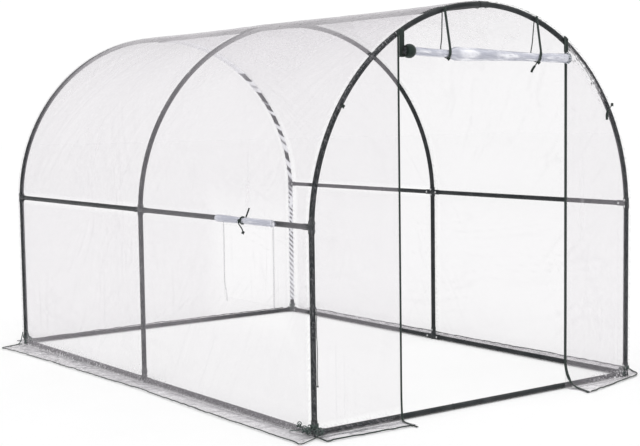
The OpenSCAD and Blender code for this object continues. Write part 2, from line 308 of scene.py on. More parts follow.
def set_sockets(shader, **values):
    for key, value in values.items():
        socket = shader.inputs[key.replace("_", " ")]
        if isinstance(value, tuple) and len(value) == 3:
            value = (*value, 1)
        socket.default_value = value


def bump(w, shader, height, distance, strength=1.0):
    made = w.node("ShaderNodeBump", {"Height": height, "Distance": distance, "Strength": strength})
    w.feed(shader.inputs["Normal"], made.outputs[0])


def object_place(w):
    return w.node("ShaderNodeTexCoord").outputs["Object"]


def painted_metal(name, colour, dust):
    """Satin paint with rubbed streaks, small chips and a little dust"""
    _, w, shader = new_material(name)
    place = object_place(w)
    wear = w.group("Wear", {"Vector": place})
    dusty = w.group("Dust", {"Vector": place, "Blotch Scale": 9.0, "Amount": dust})
    light = tuple(min(1.0, c * 2.2 + 0.02) for c in colour)
    rubbed = w.mix(w.maths("MULTIPLY", wear.outputs["Streaks"], 0.35), colour, light)
    chipped = w.mix(w.maths("MULTIPLY", wear.outputs["Chips"], 0.5), rubbed, (0.16, 0.17, 0.17))
    w.feed(shader.inputs["Base Color"],
           w.mix(w.maths("MULTIPLY", dusty.outputs["Mask"], 0.25), chipped, (0.30, 0.30, 0.30)))
    w.feed(shader.inputs["Roughness"], w.span(wear.outputs["Streaks"], 0, 1, 0.34, 0.52))
    set_sockets(shader, Specular_IOR_Level=0.22, Coat_Weight=0.05, Coat_Roughness=0.25)
    bump(w, shader, w.maths("MULTIPLY_ADD", dusty.outputs["Grain"], 0.4, wear.outputs["Height"]),
         0.0003, 0.5)


def film_material(name, haze, colour, highlight_white):
    """Clear soft film: hazy, painted whiter along its creases as highlights, clear where it clings, with
    painted glints and painted dark shade flecks where gathered, and darkened as painted shade by its shade
    field
    """
    _, w, shader = new_material(name)
    place = object_place(w)
    crease, clear, shade, gather = (w.node("ShaderNodeAttribute", attribute_name=n).outputs["Fac"]
                                    for n in ("crease", "clear", "shade", "gather"))
    dusty = w.group("Dust", {"Vector": place, "Blotch Scale": 2.3, "Grain Scale": 160.0,
                             "Amount": 0.6})
    glints_and_shade = w.group("Gathers", {"Vector": w.node("ShaderNodeUVMap", uv_map="UVMap").outputs[0]})
    # Painted glints and painted dark shade flecks, where the film is gathered
    light = w.maths("MULTIPLY", glints_and_shade.outputs["Light"], gather)
    dark_shade = w.maths("MULTIPLY", glints_and_shade.outputs["Dark"], gather)
    # Painted shade: the shade field, broken up by the hatch, mixes the film towards dark grey
    hatched_shade = w.maths("MULTIPLY", shade, w.maths("MULTIPLY_ADD", glints_and_shade.outputs["Hatch"], 0.9, 0.5))
    # Painted highlight: the crease field mixes the film towards white
    plain = w.mix(hatched_shade, w.mix(crease, colour, highlight_white), (0.10, 0.11, 0.115))
    # Painted glints mix the film towards white, and painted shade flecks mix it towards near black
    w.feed(shader.inputs["Base Color"], w.mix(dark_shade, w.mix(light, plain, highlight_white), (0.02, 0.025, 0.026)))
    facing = w.node("ShaderNodeLayerWeight", {"Blend": 0.5}).outputs["Facing"]
    glancing = w.span(glints_and_shade.outputs["Dark"], 0, 1, 0.8, 0.3)
    grazing = w.maths("MULTIPLY", w.maths("POWER", facing, 4.0), glancing)
    dust = w.maths("MULTIPLY_ADD", dusty.outputs["Mask"], 0.03, haze)
    glare = w.maths("MULTIPLY_ADD", crease, 0.5, w.maths("ADD", dust, grazing))
    veil = w.maths("MULTIPLY", glare, w.maths("SUBTRACT", 1.0, clear))
    cover = w.maths("MULTIPLY_ADD", hatched_shade, 0.6, veil)
    blotch = w.maths("MULTIPLY_ADD", w.maths("MAXIMUM", light, dark_shade), 0.8, cover, clamp=True)
    ray = w.node("ShaderNodeLightPath").outputs
    unseen = w.maths("MAXIMUM", ray["Is Shadow Ray"], ray["Is Diffuse Ray"])
    w.feed(shader.inputs["Alpha"], w.maths("MULTIPLY", blotch, w.span(unseen, 0, 1, 1.0, 0.12)))
    w.feed(shader.inputs["Roughness"], w.span(dusty.outputs["Mask"], 0, 1, 0.22, 0.36))
    set_sockets(shader, Specular_IOR_Level=0.5, Coat_Weight=0.3, Coat_Roughness=0.08)
    bump(w, shader, dusty.outputs["Grain"], 0.0002, 0.35)


def cloth_material(name, threads, colour):
    """Woven tape or twisted string, worn paler on its raised threads"""
    _, w, shader = new_material(name)
    place = w.node("ShaderNodeUVMap", uv_map="UVMap").outputs[0]
    weave = w.group("Weave", {"Vector": place, "Threads": threads, "Colour": colour,
                              "Worn Colour": tuple(min(1, c * 3 + 0.03) for c in colour)})
    w.feed(shader.inputs["Base Color"], weave.outputs["Colour"])
    set_sockets(shader, Roughness=0.8, Specular_IOR_Level=0.2, Sheen_Weight=0.25)
    bump(w, shader, weave.outputs["Height"], 0.0004, 0.8)


def folded_binding_material(colour):
    """Bound edge of the rolled door, where tape and film lie over one another"""
    _, w, shader = new_material("folded_binding")
    place = object_place(w)
    patches = w.node("ShaderNodeTexNoise", {
        "Vector": place, "Scale": 95.0, "Detail": 3.0, "Distortion": 1.5})
    share = w.span(patches.outputs[0], 0.46, 0.56, 0.0, 1.0)
    w.feed(shader.inputs["Base Color"], w.mix(share, colour, (0.62, 0.64, 0.70)))
    w.feed(shader.inputs["Roughness"], w.span(share, 0, 1, 0.8, 0.3))
    set_sockets(shader, Specular_IOR_Level=0.3)
    bump(w, shader, patches.outputs[0], 0.0008, 0.8)


def zinc_material():
    _, w, shader = new_material("zinc_bolt")
    dusty = w.group("Dust", {"Vector": object_place(w), "Blotch Scale": 60.0, "Amount": 0.8})
    w.feed(shader.inputs["Base Color"], w.mix(dusty.outputs["Mask"], (0.62, 0.63, 0.64), (0.35, 0.34, 0.33)))
    w.feed(shader.inputs["Roughness"], w.span(dusty.outputs["Mask"], 0, 1, 0.25, 0.55))
    set_sockets(shader, Metallic=1.0)


def make_materials():
    s = settings()
    make_dust_group()
    make_wear_group()
    make_weave_group()
    make_glint_shade_group()
    painted_metal("tube_paint", tuple(s.tube_colour), 0.25)
    painted_metal("fitting_paint", tuple(c * 1.2 for c in s.tube_colour), 0.35)
    film_material("cover_film", s.haze, tuple(s.film_colour), (0.93, 0.93, 0.94))
    film_material("rolled_film", 0.42, (0.52, 0.53, 0.61), (0.93, 0.93, 0.97))
    film_material("welt_film", 0.20, (0.42, 0.42, 0.46), (0.9, 0.9, 0.92))
    cloth_material("binding_tape", 2400.0, tuple(s.binding_colour))
    cloth_material("tie_string", 1500.0, tuple(s.binding_colour))
    cloth_material("faded_string", 1500.0, (0.05, 0.072, 0.066))
    folded_binding_material(tuple(s.binding_colour))
    zinc_material()


# ---- Mesh helpers ----


def add_piece(name, points, faces, material, slot, uv=None, **fields):
    """A mesh object at the origin, riding on the frame, with its finish"""
    mesh = bpy.data.meshes.new(name)
    mesh.from_pydata([tuple(p) for p in points], [], [tuple(f) for f in faces])
    mesh.validate()
    if uv is not None:
        layer = mesh.uv_layers.new(name="UVMap")
        index = np.empty(len(mesh.loops), int)
        mesh.loops.foreach_get("vertex_index", index)
        layer.data.foreach_set("uv", np.asarray(uv, float)[index].astype(np.float32).ravel())
    for field, values in fields.items():
        held = mesh.attributes.new(field, "FLOAT", "POINT")
        held.data.foreach_set("value", np.asarray(values, np.float32).ravel())
    mesh.polygons.foreach_set("use_smooth", [True] * len(mesh.polygons))
    mesh.materials.append(bpy.data.materials[material])
    piece = bpy.data.objects.new(name, mesh)
    bpy.context.scene.collection.objects.link(piece)
    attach(piece, BODY)
    return piece


def join_parts(parts):
    """Several (points, faces, uv) as one"""
    points, faces, uv, start = [], [], [], 0
    for p, f, u in parts:
        points.append(np.asarray(p, float))
        faces.extend([tuple(int(i) + start for i in face) for face in f])
        uv.append(np.asarray(u, float))
        start += len(p)
    return np.concatenate(points), faces, np.concatenate(uv)


def smooth_path(route, step):
    """Points about a step apart on a smooth curve through a route"""
    p = np.asarray(route, float)
    if len(p) == 2:
        count = max(2, int(np.ceil(np.linalg.norm(p[1] - p[0]) / step)) + 1)
        return p[0] + np.linspace(0, 1, count)[:, None] * (p[1] - p[0])
    q = np.concatenate([[2 * p[0] - p[1]], p, [2 * p[-1] - p[-2]]])
    out = []
    for i in range(1, len(q) - 2):
        a, b, c, d = q[i - 1], q[i], q[i + 1], q[i + 2]
        count = max(1, int(round(np.linalg.norm(c - b) / step)))
        for t in np.arange(count) / count:
            out.append(0.5 * (2 * b + (c - a) * t + (2 * a - 5 * b + 4 * c - d) * t * t
                              + (3 * b - 3 * c + d - a) * t ** 3))
    out.append(q[-2])
    return np.array(out)


def frames_along(path):
    """Directions across and up at each point of a path, carried along it without twist"""
    along = np.gradient(path, axis=0)
    along /= np.linalg.norm(along, axis=1)[:, None]
    start = np.cross(along[0], (0, 1, 0))
    if np.linalg.norm(start) < 0.1:
        start = np.cross(along[0], (1, 0, 0))
    across = [start / np.linalg.norm(start)]
    for a in along[1:]:
        c = across[-1] - a * (across[-1] @ a)
        across.append(c / np.linalg.norm(c))
    across = np.array(across)
    return across, np.cross(along, across)


def tube_parts(path, radius, sides=10, strands=0, lay=0.0):
    """A closed round or twisted tube round a path, as (points, faces, uv)"""
    across, up = frames_along(path)
    length = np.concatenate([[0], np.cumsum(np.linalg.norm(np.diff(path, axis=0), axis=1))])
    turn = 2 * np.pi * np.arange(sides) / sides
    points, uv = [], []
    for i, c in enumerate(path):
        r = np.full(sides, radius)
        if strands:
            r = radius * (0.9 + 0.1 * np.cos(strands * (turn - 2 * np.pi * length[i] / lay)))
        ring = c + r[:, None] * (np.cos(turn)[:, None] * across[i] + np.sin(turn)[:, None] * up[i])
        points.append(ring)
        uv.append(np.stack([turn * radius, np.full(sides, length[i])], 1))
    points, uv = np.concatenate(points), np.concatenate(uv)
    faces = []
    for i in range(len(path) - 1):
        for j in range(sides):
            k = (j + 1) % sides
            faces.append((i * sides + j, i * sides + k, (i + 1) * sides + k, (i + 1) * sides + j))
    n = len(path) - 1
    points = np.concatenate([points, [path[0], path[-1]]])
    uv = np.concatenate([uv, [[0, 0], [0, length[-1]]]])
    a, b = (n + 1) * sides, (n + 1) * sides + 1
    for j in range(sides):
        k = (j + 1) % sides
        faces.append((a, k, j))
        faces.append((b, n * sides + j, n * sides + k))
    return points, faces, uv


def knot_parts(centre, size, thread, turn=0.0):
    """A small overhand knot: a tube round a three-lobed loop"""
    t = np.linspace(0, 2 * np.pi, 48, endpoint=False)
    loop = np.stack([np.sin(t) + 2 * np.sin(2 * t), -np.sin(3 * t) * 1.3,
                     np.cos(t) - 2 * np.cos(2 * t)], 1) * size / 6
    c, s = math.cos(turn), math.sin(turn)
    loop = loop @ np.array([[c, 0, s], [0, 1, 0], [-s, 0, c]])
    path = np.asarray(centre, float) + loop
    path = np.concatenate([path, path[:1]])
    return tube_parts(path, thread / 2, sides=8, strands=3, lay=thread * 3)


def whole_noise(i, j, seed):
    """A fixed number from -1 to 1 for each whole place of a grid"""
    h = (i.astype(np.int64) * 73856093) ^ (j.astype(np.int64) * 19349663) ^ (seed * 83492791)
    h = (h ^ (h >> 13)) * 1274126177
    h = (h ^ (h >> 16)) & 0xFFFFF
    return h / 0x7FFFF - 1.0


def noise(u, v, seed):
    """Smooth noise from -1 to 1 over two coordinates"""
    i, j = np.floor(u), np.floor(v)
    f, g = u - i, v - j
    f, g = f * f * f * (f * (6 * f - 15) + 10), g * g * g * (g * (6 * g - 15) + 10)
    a, b = whole_noise(i, j, seed), whole_noise(i + 1, j, seed)
    c, d = whole_noise(i, j + 1, seed), whole_noise(i + 1, j + 1, seed)
    return (a + (b - a) * f) * (1 - g) + (c + (d - c) * f) * g


def fade(value, low, high):
    t = np.clip((value - low) / (high - low), 0, 1)
    return t * t * (3 - 2 * t)


# ---- Film ----


def streaks(u, v, angle, long, wide, seed):
    """Soft parallel creases at an angle, as a height and as a line mask"""
    c, s = math.cos(angle), math.sin(angle)
    a, b = (u * c + v * s) / long, (v * c - u * s) / wide
    a = a + 0.35 * noise(a * 1.3, b * 0.3, seed + 1)
    b = b + 0.5 * noise(a * 2.0, b * 0.5, seed + 2)
    height = noise(a, b, seed)
    broken = fade(np.abs(noise(a, b * 0.4, seed + 3)), 0.1, 0.7)
    return height, np.clip(1 - np.abs(height) * 3.2, 0, 1) ** 2 * broken


def film_relief(u, v, slack, pull):
    """Height of the film and how strongly its creases and pulled flecks are painted as highlights, over its
    flat coordinates.

    slack is how freely it moves, and pull how strongly it is gathered by what holds it.
    """
    depth = settings().crease_depth
    height = depth * 0.9 * noise(u * 2.2, v * 2.8, 1)
    lines = 0.0 * u
    for angle, long, wide, seed, share in (
            (0.75, 0.42, 0.030, 100, 0.50), (-0.55, 0.50, 0.036, 110, 0.35), (1.45, 0.60, 0.045, 120, 0.30)):
        where = fade(noise(u * 1.5, v * 1.7, seed + 7), 0.0, 0.7)
        wave, line = streaks(u, v, angle, long, wide, seed)
        height = height + depth * share * where * wave
        lines = lines + share * where * line
    height = height * slack
    pucker, pucker_line = streaks(u, v, 0.5, 0.10, 0.016, 130)
    height = height + 0.3 * depth * pull * pucker
    flecks = pucker_line * fade(noise(u * 8, v * 9, 13), -0.1, 0.6)
    # The second value is painted highlight: crease lines and flecks where the film is pulled, which the film
    # material mixes towards white
    return height, np.clip(0.45 * lines * (0.3 + 0.7 * slack) + 1.1 * pull * flecks, 0, 1)


def grid_faces(rows, cols, keep=None):
    i, j = np.meshgrid(np.arange(rows - 1), np.arange(cols - 1), indexing="ij")
    a = (i * cols + j).ravel()
    faces = np.stack([a, a + cols, a + cols + 1, a + 1], 1)
    return faces if keep is None else faces[keep.ravel()]


def spaced(stops, step):
    """Places from the first stop to the last, about a step apart and with every stop among them"""
    out = [stops[0]]
    for a, b in zip(stops, stops[1:]):
        count = max(1, int(round((b - a) / step)))
        out.extend(a + (b - a) * k / count for k in range(1, count + 1))
    return np.array(out)


def used_only(points, faces, *others):
    used, faces = np.unique(faces, return_inverse=True)
    return (points[used], faces.reshape(-1, 4), *[o[used] for o in others])


# How far each skirt's hem lies from the middle of the tunnel, at places along its wall
LEFT_HEM = ((-1.515, 1.128), (-0.95, 1.132), (-0.16, 1.116), (0.9, 1.150), (1.515, 1.180))
RIGHT_HEM = ((-1.515, 1.075), (-1.38, 1.160), (0.0, 1.150), (1.515, 1.160))
FRONT_HEM = ((-1.015, 1.612), (-0.84, 1.617), (-0.61, 1.631), (0.55, 1.664), (1.015, 1.548))
REAR_HEM = ((-1.015, 1.60), (0.0, 1.652), (1.015, 1.64))
# How far the left skirt's corners are drawn towards the front, at the front and at the rear
FRONT_DRAWN, REAR_DRAWN = 0.066, 0.080


def hem_reach(hem, along):
    """How far out a skirt reaches at each place along its wall, with gentle waves"""
    at, out = zip(*hem)
    return np.interp(along, at, out) + 0.003 * noise(along * 5, along * 0 + 0.5, 51)


def drawn_forward(y, share):
    """How far the left skirt is drawn towards the front, from its wall (share 0) to its hem (share 1)"""
    return -share * (FRONT_DRAWN * (1 - fade(y, -COVER_Y, -COVER_Y + 0.4))
                     + REAR_DRAWN * fade(y, COVER_Y - 0.4, COVER_Y))


def skirt_relief(along, away, seed, grey):
    """Ripples of a skirt on the ground, from its wall out to its hem, with painted highlights along its
    creases and painted shade that is grey all over and darker near the wall
    """
    ripple = np.abs(noise(along * 24, away * 9, seed)) * 0.007
    ripple = ripple + np.abs(noise(along * 62 + away * 20, away * 22, seed + 1)) * 0.003
    ripple = ripple * fade(away, 0.004, 0.05)
    # Painted highlight along crease lines, and painted shade in long streaks along the wall: the shadow and
    # reflection of the base rail, partly also layered film
    _, lines = streaks(away, along, 0.35, 0.12, 0.020, seed + 2)
    _, dark_shade = streaks(along, away, 0.06, 0.50, 0.030, seed + 9)
    inner = 1 - fade(away, 0.0, 0.17)
    shade = grey + 0.24 * inner + 0.75 * inner * dark_shade
    return ripple, np.clip(0.4 * lines, 0, 1), np.clip(shade * (1 - 0.4 * lines), 0, 1)


def make_cover():
    """The long sheet: skirt, wall, roof, wall and skirt in one piece, with the window cut out"""
    step = 0.0135
    s = settings()
    ground = FILM_T
    skirt = spaced([-HEM_X, -COVER_R], step)
    wall = spaced([ground, WINDOW_Z[0], WINDOW_Z[1]], step)[1:]
    angles = spaced([0, math.pi], step / COVER_R)[1:-1]
    x = np.concatenate([skirt, np.full(len(wall), -COVER_R), -COVER_R * np.cos(angles)])
    z = np.concatenate([np.full(len(skirt), ground), wall, SPRING_Z + COVER_R * np.sin(angles)])
    nx = np.concatenate([np.zeros(len(skirt)), -np.ones(len(wall)), -np.cos(angles)])
    nz = np.concatenate([np.ones(len(skirt)), np.zeros(len(wall)), np.sin(angles)])
    right = slice(0, len(skirt) + len(wall))
    x = np.concatenate([x, -x[right][::-1]])
    z = np.concatenate([z, z[right][::-1]])
    nx = np.concatenate([nx, -nx[right][::-1]])
    nz = np.concatenate([nz, nz[right][::-1]])
    across = np.concatenate([[0], np.cumsum(np.hypot(np.diff(x), np.diff(z)))])
    y = spaced([-COVER_Y, WINDOW_Y[0], WINDOW_Y[1], 0, COVER_Y], step)
    rows, cols = len(x), len(y)
    uu, vv = np.meshgrid(across, y, indexing="ij")
    zz, xx = np.repeat(z[:, None], cols, 1), np.repeat(x[:, None], cols, 1)
    hoop = np.min([np.abs(vv - h) for h in HOOP_Y], axis=0)
    rail = np.min([np.abs(zz - WAIST_Z), np.hypot(xx, zz - SPRING_Z - ARCH_R)], axis=0)
    base = np.abs(zz - ground)
    on_ground = (np.arange(rows) < len(skirt)) | (np.arange(rows) >= rows - len(skirt))
    on_ground = np.repeat(on_ground[:, None], cols, 1)
    held = np.minimum(np.minimum(hoop, rail), base)
    clear = 1 - fade(vv - HOOP_Y[0], 0.014, 0.030)
    clear = np.maximum(clear, (1 - fade(np.abs(vv - HOOP_Y[2] + 0.020), 0.022, 0.040))
                       * (1.0 - np.where(xx < 0, 0.35, 0.85) * fade(zz, 1.0, 1.6)))
    at_middle = 1 - fade(np.abs(vv - HOOP_Y[1] + 0.014), 0.020, 0.045)
    clear = np.maximum(clear, 0.35 * at_middle * (zz > FILM_T))
    to_window = np.maximum(np.maximum(np.abs(vv - sum(WINDOW_Y) / 2) - (WINDOW_Y[1] - WINDOW_Y[0]) / 2,
                                      np.maximum(WINDOW_Z[0] - zz, zz - WINDOW_Z[1])), 0)
    clear = np.maximum(clear, 0.75 * (1 - fade(to_window, 0.0, 0.22)) * (xx < 0))
    on_rail = 1 - fade(np.abs(zz - WAIST_Z), 0.018, 0.035)
    clear = np.maximum(clear, on_rail * np.where(vv > 0, 0.95, 0.3))
    ridge = np.hypot(xx, zz - SPRING_Z - ARCH_R)
    # Where the painted glints and painted dark shade flecks go: by the hoops, along the foot of the walls
    # and thickly round the front hoop
    gather = 0.22 * (1 - fade(hoop, 0.0, 0.05))
    gather = gather + (1 - fade(base, 0.0, 0.06)) * (0.3 + 0.45 * fade(vv, 0.0, 0.6))
    gather = gather + (1 - fade(np.abs(vv - HOOP_Y[0]), 0.0, 0.05)) * (
        0.9 * (1 - fade(np.abs(xx - 0.1), 0.2, 0.45)) + 0.25 * fade(zz, 1.2, 1.6))
    slack = fade(held, 0.015, 0.16)
    pull = 1 - fade(held, 0.0, 0.05)
    near_hoop = 1 - fade(hoop, 0.0, 0.06)
    height, crease = film_relief(uu, vv, slack, 0.3 * pull + 0.5 * near_hoop)
    # Painted highlight: a whiter band along the ridge tube, the roof whiter towards its crown, and a whiter
    # band just above the ground
    crease = np.maximum(crease, 0.55 * (1 - fade(ridge, 0.02, 0.07)))
    crease = np.clip(crease + 0.14 * fade(zz, 1.5, 1.85) + 0.12 * (1 - fade(zz, 0.05, 0.12)), 0, 1)
    bay = np.sin(np.pi * np.clip(np.abs(vv) / HOOP_Y[2], 0, 1)) ** 2
    height = np.maximum(height, -0.0018 - 0.02 * slack) - s.sag * bay * slack
    height = np.where(xx < 0, height * fade(to_window, 0.0, 0.08), height)
    share = np.where(on_ground, (np.abs(xx) - COVER_R) / (HEM_X - COVER_R), 0.0)
    reach = np.where(xx < 0, hem_reach(LEFT_HEM, vv), hem_reach(RIGHT_HEM, vv))
    from_wall = share * (reach - COVER_R)
    xx = np.where(on_ground, np.sign(xx) * (COVER_R + from_wall), xx)
    ripple, skirt_crease_highlight, skirt_shade = skirt_relief(vv, from_wall, 21, 0.20)
    height = np.where(on_ground, ripple, height)
    crease = np.where(on_ground, skirt_crease_highlight, crease)
    shade = np.where(on_ground, skirt_shade, 0.0)
    clear = np.where(on_ground, 0.0, clear)
    yy = vv + np.where(xx < 0, drawn_forward(vv, share), 0.0)
    points = np.stack([xx + height * nx[:, None], yy, zz + height * nz[:, None]], -1).reshape(-1, 3)
    mid_y, mid_z = (vv[:-1, :-1] + vv[1:, 1:]) / 2, (zz[:-1, :-1] + zz[1:, 1:]) / 2
    mid_x = xx[:-1, :-1]
    hole = ((mid_x < 0) & (mid_y > WINDOW_Y[0]) & (mid_y < WINDOW_Y[1])
            & (mid_z > WINDOW_Z[0]) & (mid_z < WINDOW_Z[1]) & ~on_ground[:-1, :-1])
    faces = grid_faces(rows, cols, ~hole)[:, ::-1]
    uv = np.stack([uu, vv], -1).reshape(-1, 2)
    points, faces, uv, crease, clear, shade, gather = used_only(
        points, faces, uv, crease.ravel(), clear.ravel(), shade.ravel(), gather.ravel())
    piece = add_piece("cover_film", points, faces, "cover_film", "film", uv,
                      crease=crease, clear=clear, shade=shade, gather=gather)
    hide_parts("left_wall_film", "right_wall_film", "left_lower_roof_film",
                "left_upper_roof_film", "right_upper_roof_film", "right_lower_roof_film",
                "side_skirts")
    return piece


def top_of(x):
    return SPRING_Z + np.sqrt(np.maximum(COVER_R ** 2 - x ** 2, 0))


def make_end(name, side, doorway):
    """An end sheet, with its skirts on the ground and, at the front, the doorway cut out"""
    step = 0.0145
    y = side * COVER_Y
    head = (DOOR_HEAD - FILM_T) / (float(top_of(np.array(DOOR_LEFT))) - FILM_T)
    spread = spaced([-math.pi / 2, math.asin(DOOR_LEFT / COVER_R), math.asin(DOOR_RIGHT / COVER_R),
                     math.pi / 2], step / COVER_R)
    x = COVER_R * np.sin(spread)
    low = np.linspace(0, head, int(DOOR_HEAD / step) + 1)
    high = np.linspace(head, 1, 16)[1:]
    share = np.concatenate([low, high])
    xx = np.repeat(x[None, :], len(share), 0)
    zz = FILM_T + share[:, None] * (top_of(x) - FILM_T)[None, :]
    skirt = spaced([COVER_Y, HEM_Y], step)[1:][::-1]
    rows_s = len(skirt)
    sx = np.repeat(x[None, :], rows_s, 0)
    sy = np.repeat(skirt[:, None] * side, len(x), 1)
    uu = np.concatenate([sx, xx])
    vv = np.concatenate([-(np.abs(sy) - COVER_Y), zz])
    yy = np.concatenate([sy, np.full_like(xx, y)])
    on_ground = vv < 0
    edge = np.minimum(COVER_R - np.hypot(uu, np.maximum(vv - SPRING_Z, 0)), 9)
    held = np.minimum(edge, np.abs(vv - FILM_T))
    if doorway:
        held = np.minimum(held, np.maximum(np.maximum(DOOR_LEFT - uu, uu - DOOR_RIGHT), vv - DOOR_HEAD))
    slack = fade(held, 0.01, 0.15)
    near = 1 - fade(edge, 0.0, 0.05)
    height, crease = film_relief(uu + 7 + side, vv + 3, slack, 0.5 * near)
    wave, line = streaks(vv, uu, 0.0, 1.1, 0.026, 31)
    height = height * 0.8 + wave * 0.0022 * fade(held, 0.005, 0.06)
    clear = 1 - fade(edge - 0.011 * uu / COVER_R, 0.028, 0.040)
    clear = clear * (0.97 - 0.08 * fade(uu, 0, 0.5) if side < 0 else 0.5)
    # Where the painted glints and painted dark shade flecks go: along the hoop edge, in a band inside the
    # front hoop's upper right, and along the foot of the front sheet
    gather = 0.2 * near
    if side < 0:
        folded = fade(uu, 0.42, 0.55) * (1 - fade(uu, 0.72, 0.84)) * fade(vv, SPRING_Z + 0.2, SPRING_Z + 0.4)
        inner = folded * fade(edge, 0.022, 0.034) * (1 - fade(edge, 0.045, 0.085))
        gather = gather + inner + 0.5 * near * fade(vv, 1.6, 1.8)
        low = 1 - fade(np.abs(vv), 0.02, 0.07)
        gather = gather + low * (0.8 * fade(uu, 0.6, 0.9) + 0.3 * fade(-uu, -DOOR_LEFT, 0.62))
        # Painted highlight along the same inner band
        crease = np.maximum(crease, 0.7 * inner)
        clear = clear * (1 - 0.9 * inner)
        clear = np.maximum(clear, 0.85 * (1 - fade(np.abs(vv - 0.030), 0.022, 0.036)) * (uu < DOOR_LEFT))
    height = np.maximum(height, -0.002 - 0.01 * slack)
    # Painted highlight along long upright streaks, where the film is slack
    crease = np.clip(crease + 0.4 * line * slack * fade(noise(uu * 3, vv * 1.2, 32), 0, 0.6), 0, 1)
    reach = hem_reach(FRONT_HEM if side < 0 else REAR_HEM, uu)
    away = (np.abs(yy) - COVER_Y) / (HEM_Y - COVER_Y) * (reach - COVER_Y)
    yy = np.where(on_ground, side * (COVER_Y + away), yy)
    ripple, skirt_crease_highlight, skirt_shade = skirt_relief(uu, away, 33 + side, 0.10 if side < 0 else 0.25)
    if side < 0:
        # Painted shade: two dark lines along the front-left skirt, fading towards the doorway, for the base
        # rail's dark lower edge and partly a real fold of the film
        to_door = np.clip((uu + COVER_R) / (DOOR_LEFT + COVER_R), 0, 1)
        fold = 1 - fade(np.abs(away - 0.030 - 0.016 * to_door), 0.005, 0.011)
        fold = np.maximum(fold, 1 - fade(np.abs(away - 0.010), 0.004, 0.012))
        skirt_shade = np.clip(skirt_shade + 0.9 * fold * (uu < DOOR_LEFT) * (1 - 0.7 * to_door), 0, 1)
    crease = np.where(on_ground, skirt_crease_highlight, crease)
    shade = np.where(on_ground, skirt_shade, 0.0)
    clear = np.where(on_ground, 0.0, clear)
    points = np.stack([uu, yy + np.where(on_ground, 0, height * side),
                       np.where(on_ground, FILM_T + ripple, vv)], -1).reshape(-1, 3)
    rows, cols = uu.shape
    keep = np.ones((rows - 1, cols - 1), bool)
    if doorway:
        mid_x = (x[:-1] + x[1:]) / 2
        inside = (mid_x > DOOR_LEFT) & (mid_x < DOOR_RIGHT)
        below = np.arange(rows - 1) < rows_s + len(low) - 1
        keep = ~(below[:, None] & inside[None, :])
    faces = grid_faces(rows, cols, keep)
    if side < 0:
        faces = faces[:, ::-1]
    uv = np.stack([uu, vv], -1).reshape(-1, 2)
    points, faces, uv, crease, clear, shade, gather = used_only(
        points, faces, uv, crease.ravel(), clear.ravel(), shade.ravel(), gather.ravel())
    return add_piece(name, points, faces, "cover_film", "film", uv,
                     crease=crease, clear=clear, shade=shade, gather=gather)


def make_ends():
    front = make_end("front_film", -1, True)
    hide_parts("front_left_panel", "front_right_panel", "door_head_panel", "end_skirts")
    rear = make_end("rear_film", 1, False)
    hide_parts("rear_panel")
    wrap = make_leg_wrap()
    for piece, doorway in ((front, True), (rear, False)):
        area = 2 * COVER_R * (SPRING_Z + HEM_Y - COVER_Y) + math.pi * COVER_R ** 2 / 2
        if doorway:
            area -= (DOOR_RIGHT - DOOR_LEFT) * (DOOR_HEAD + HEM_Y - COVER_Y)


# ---- Rolled sheets, by Geometry Nodes ----


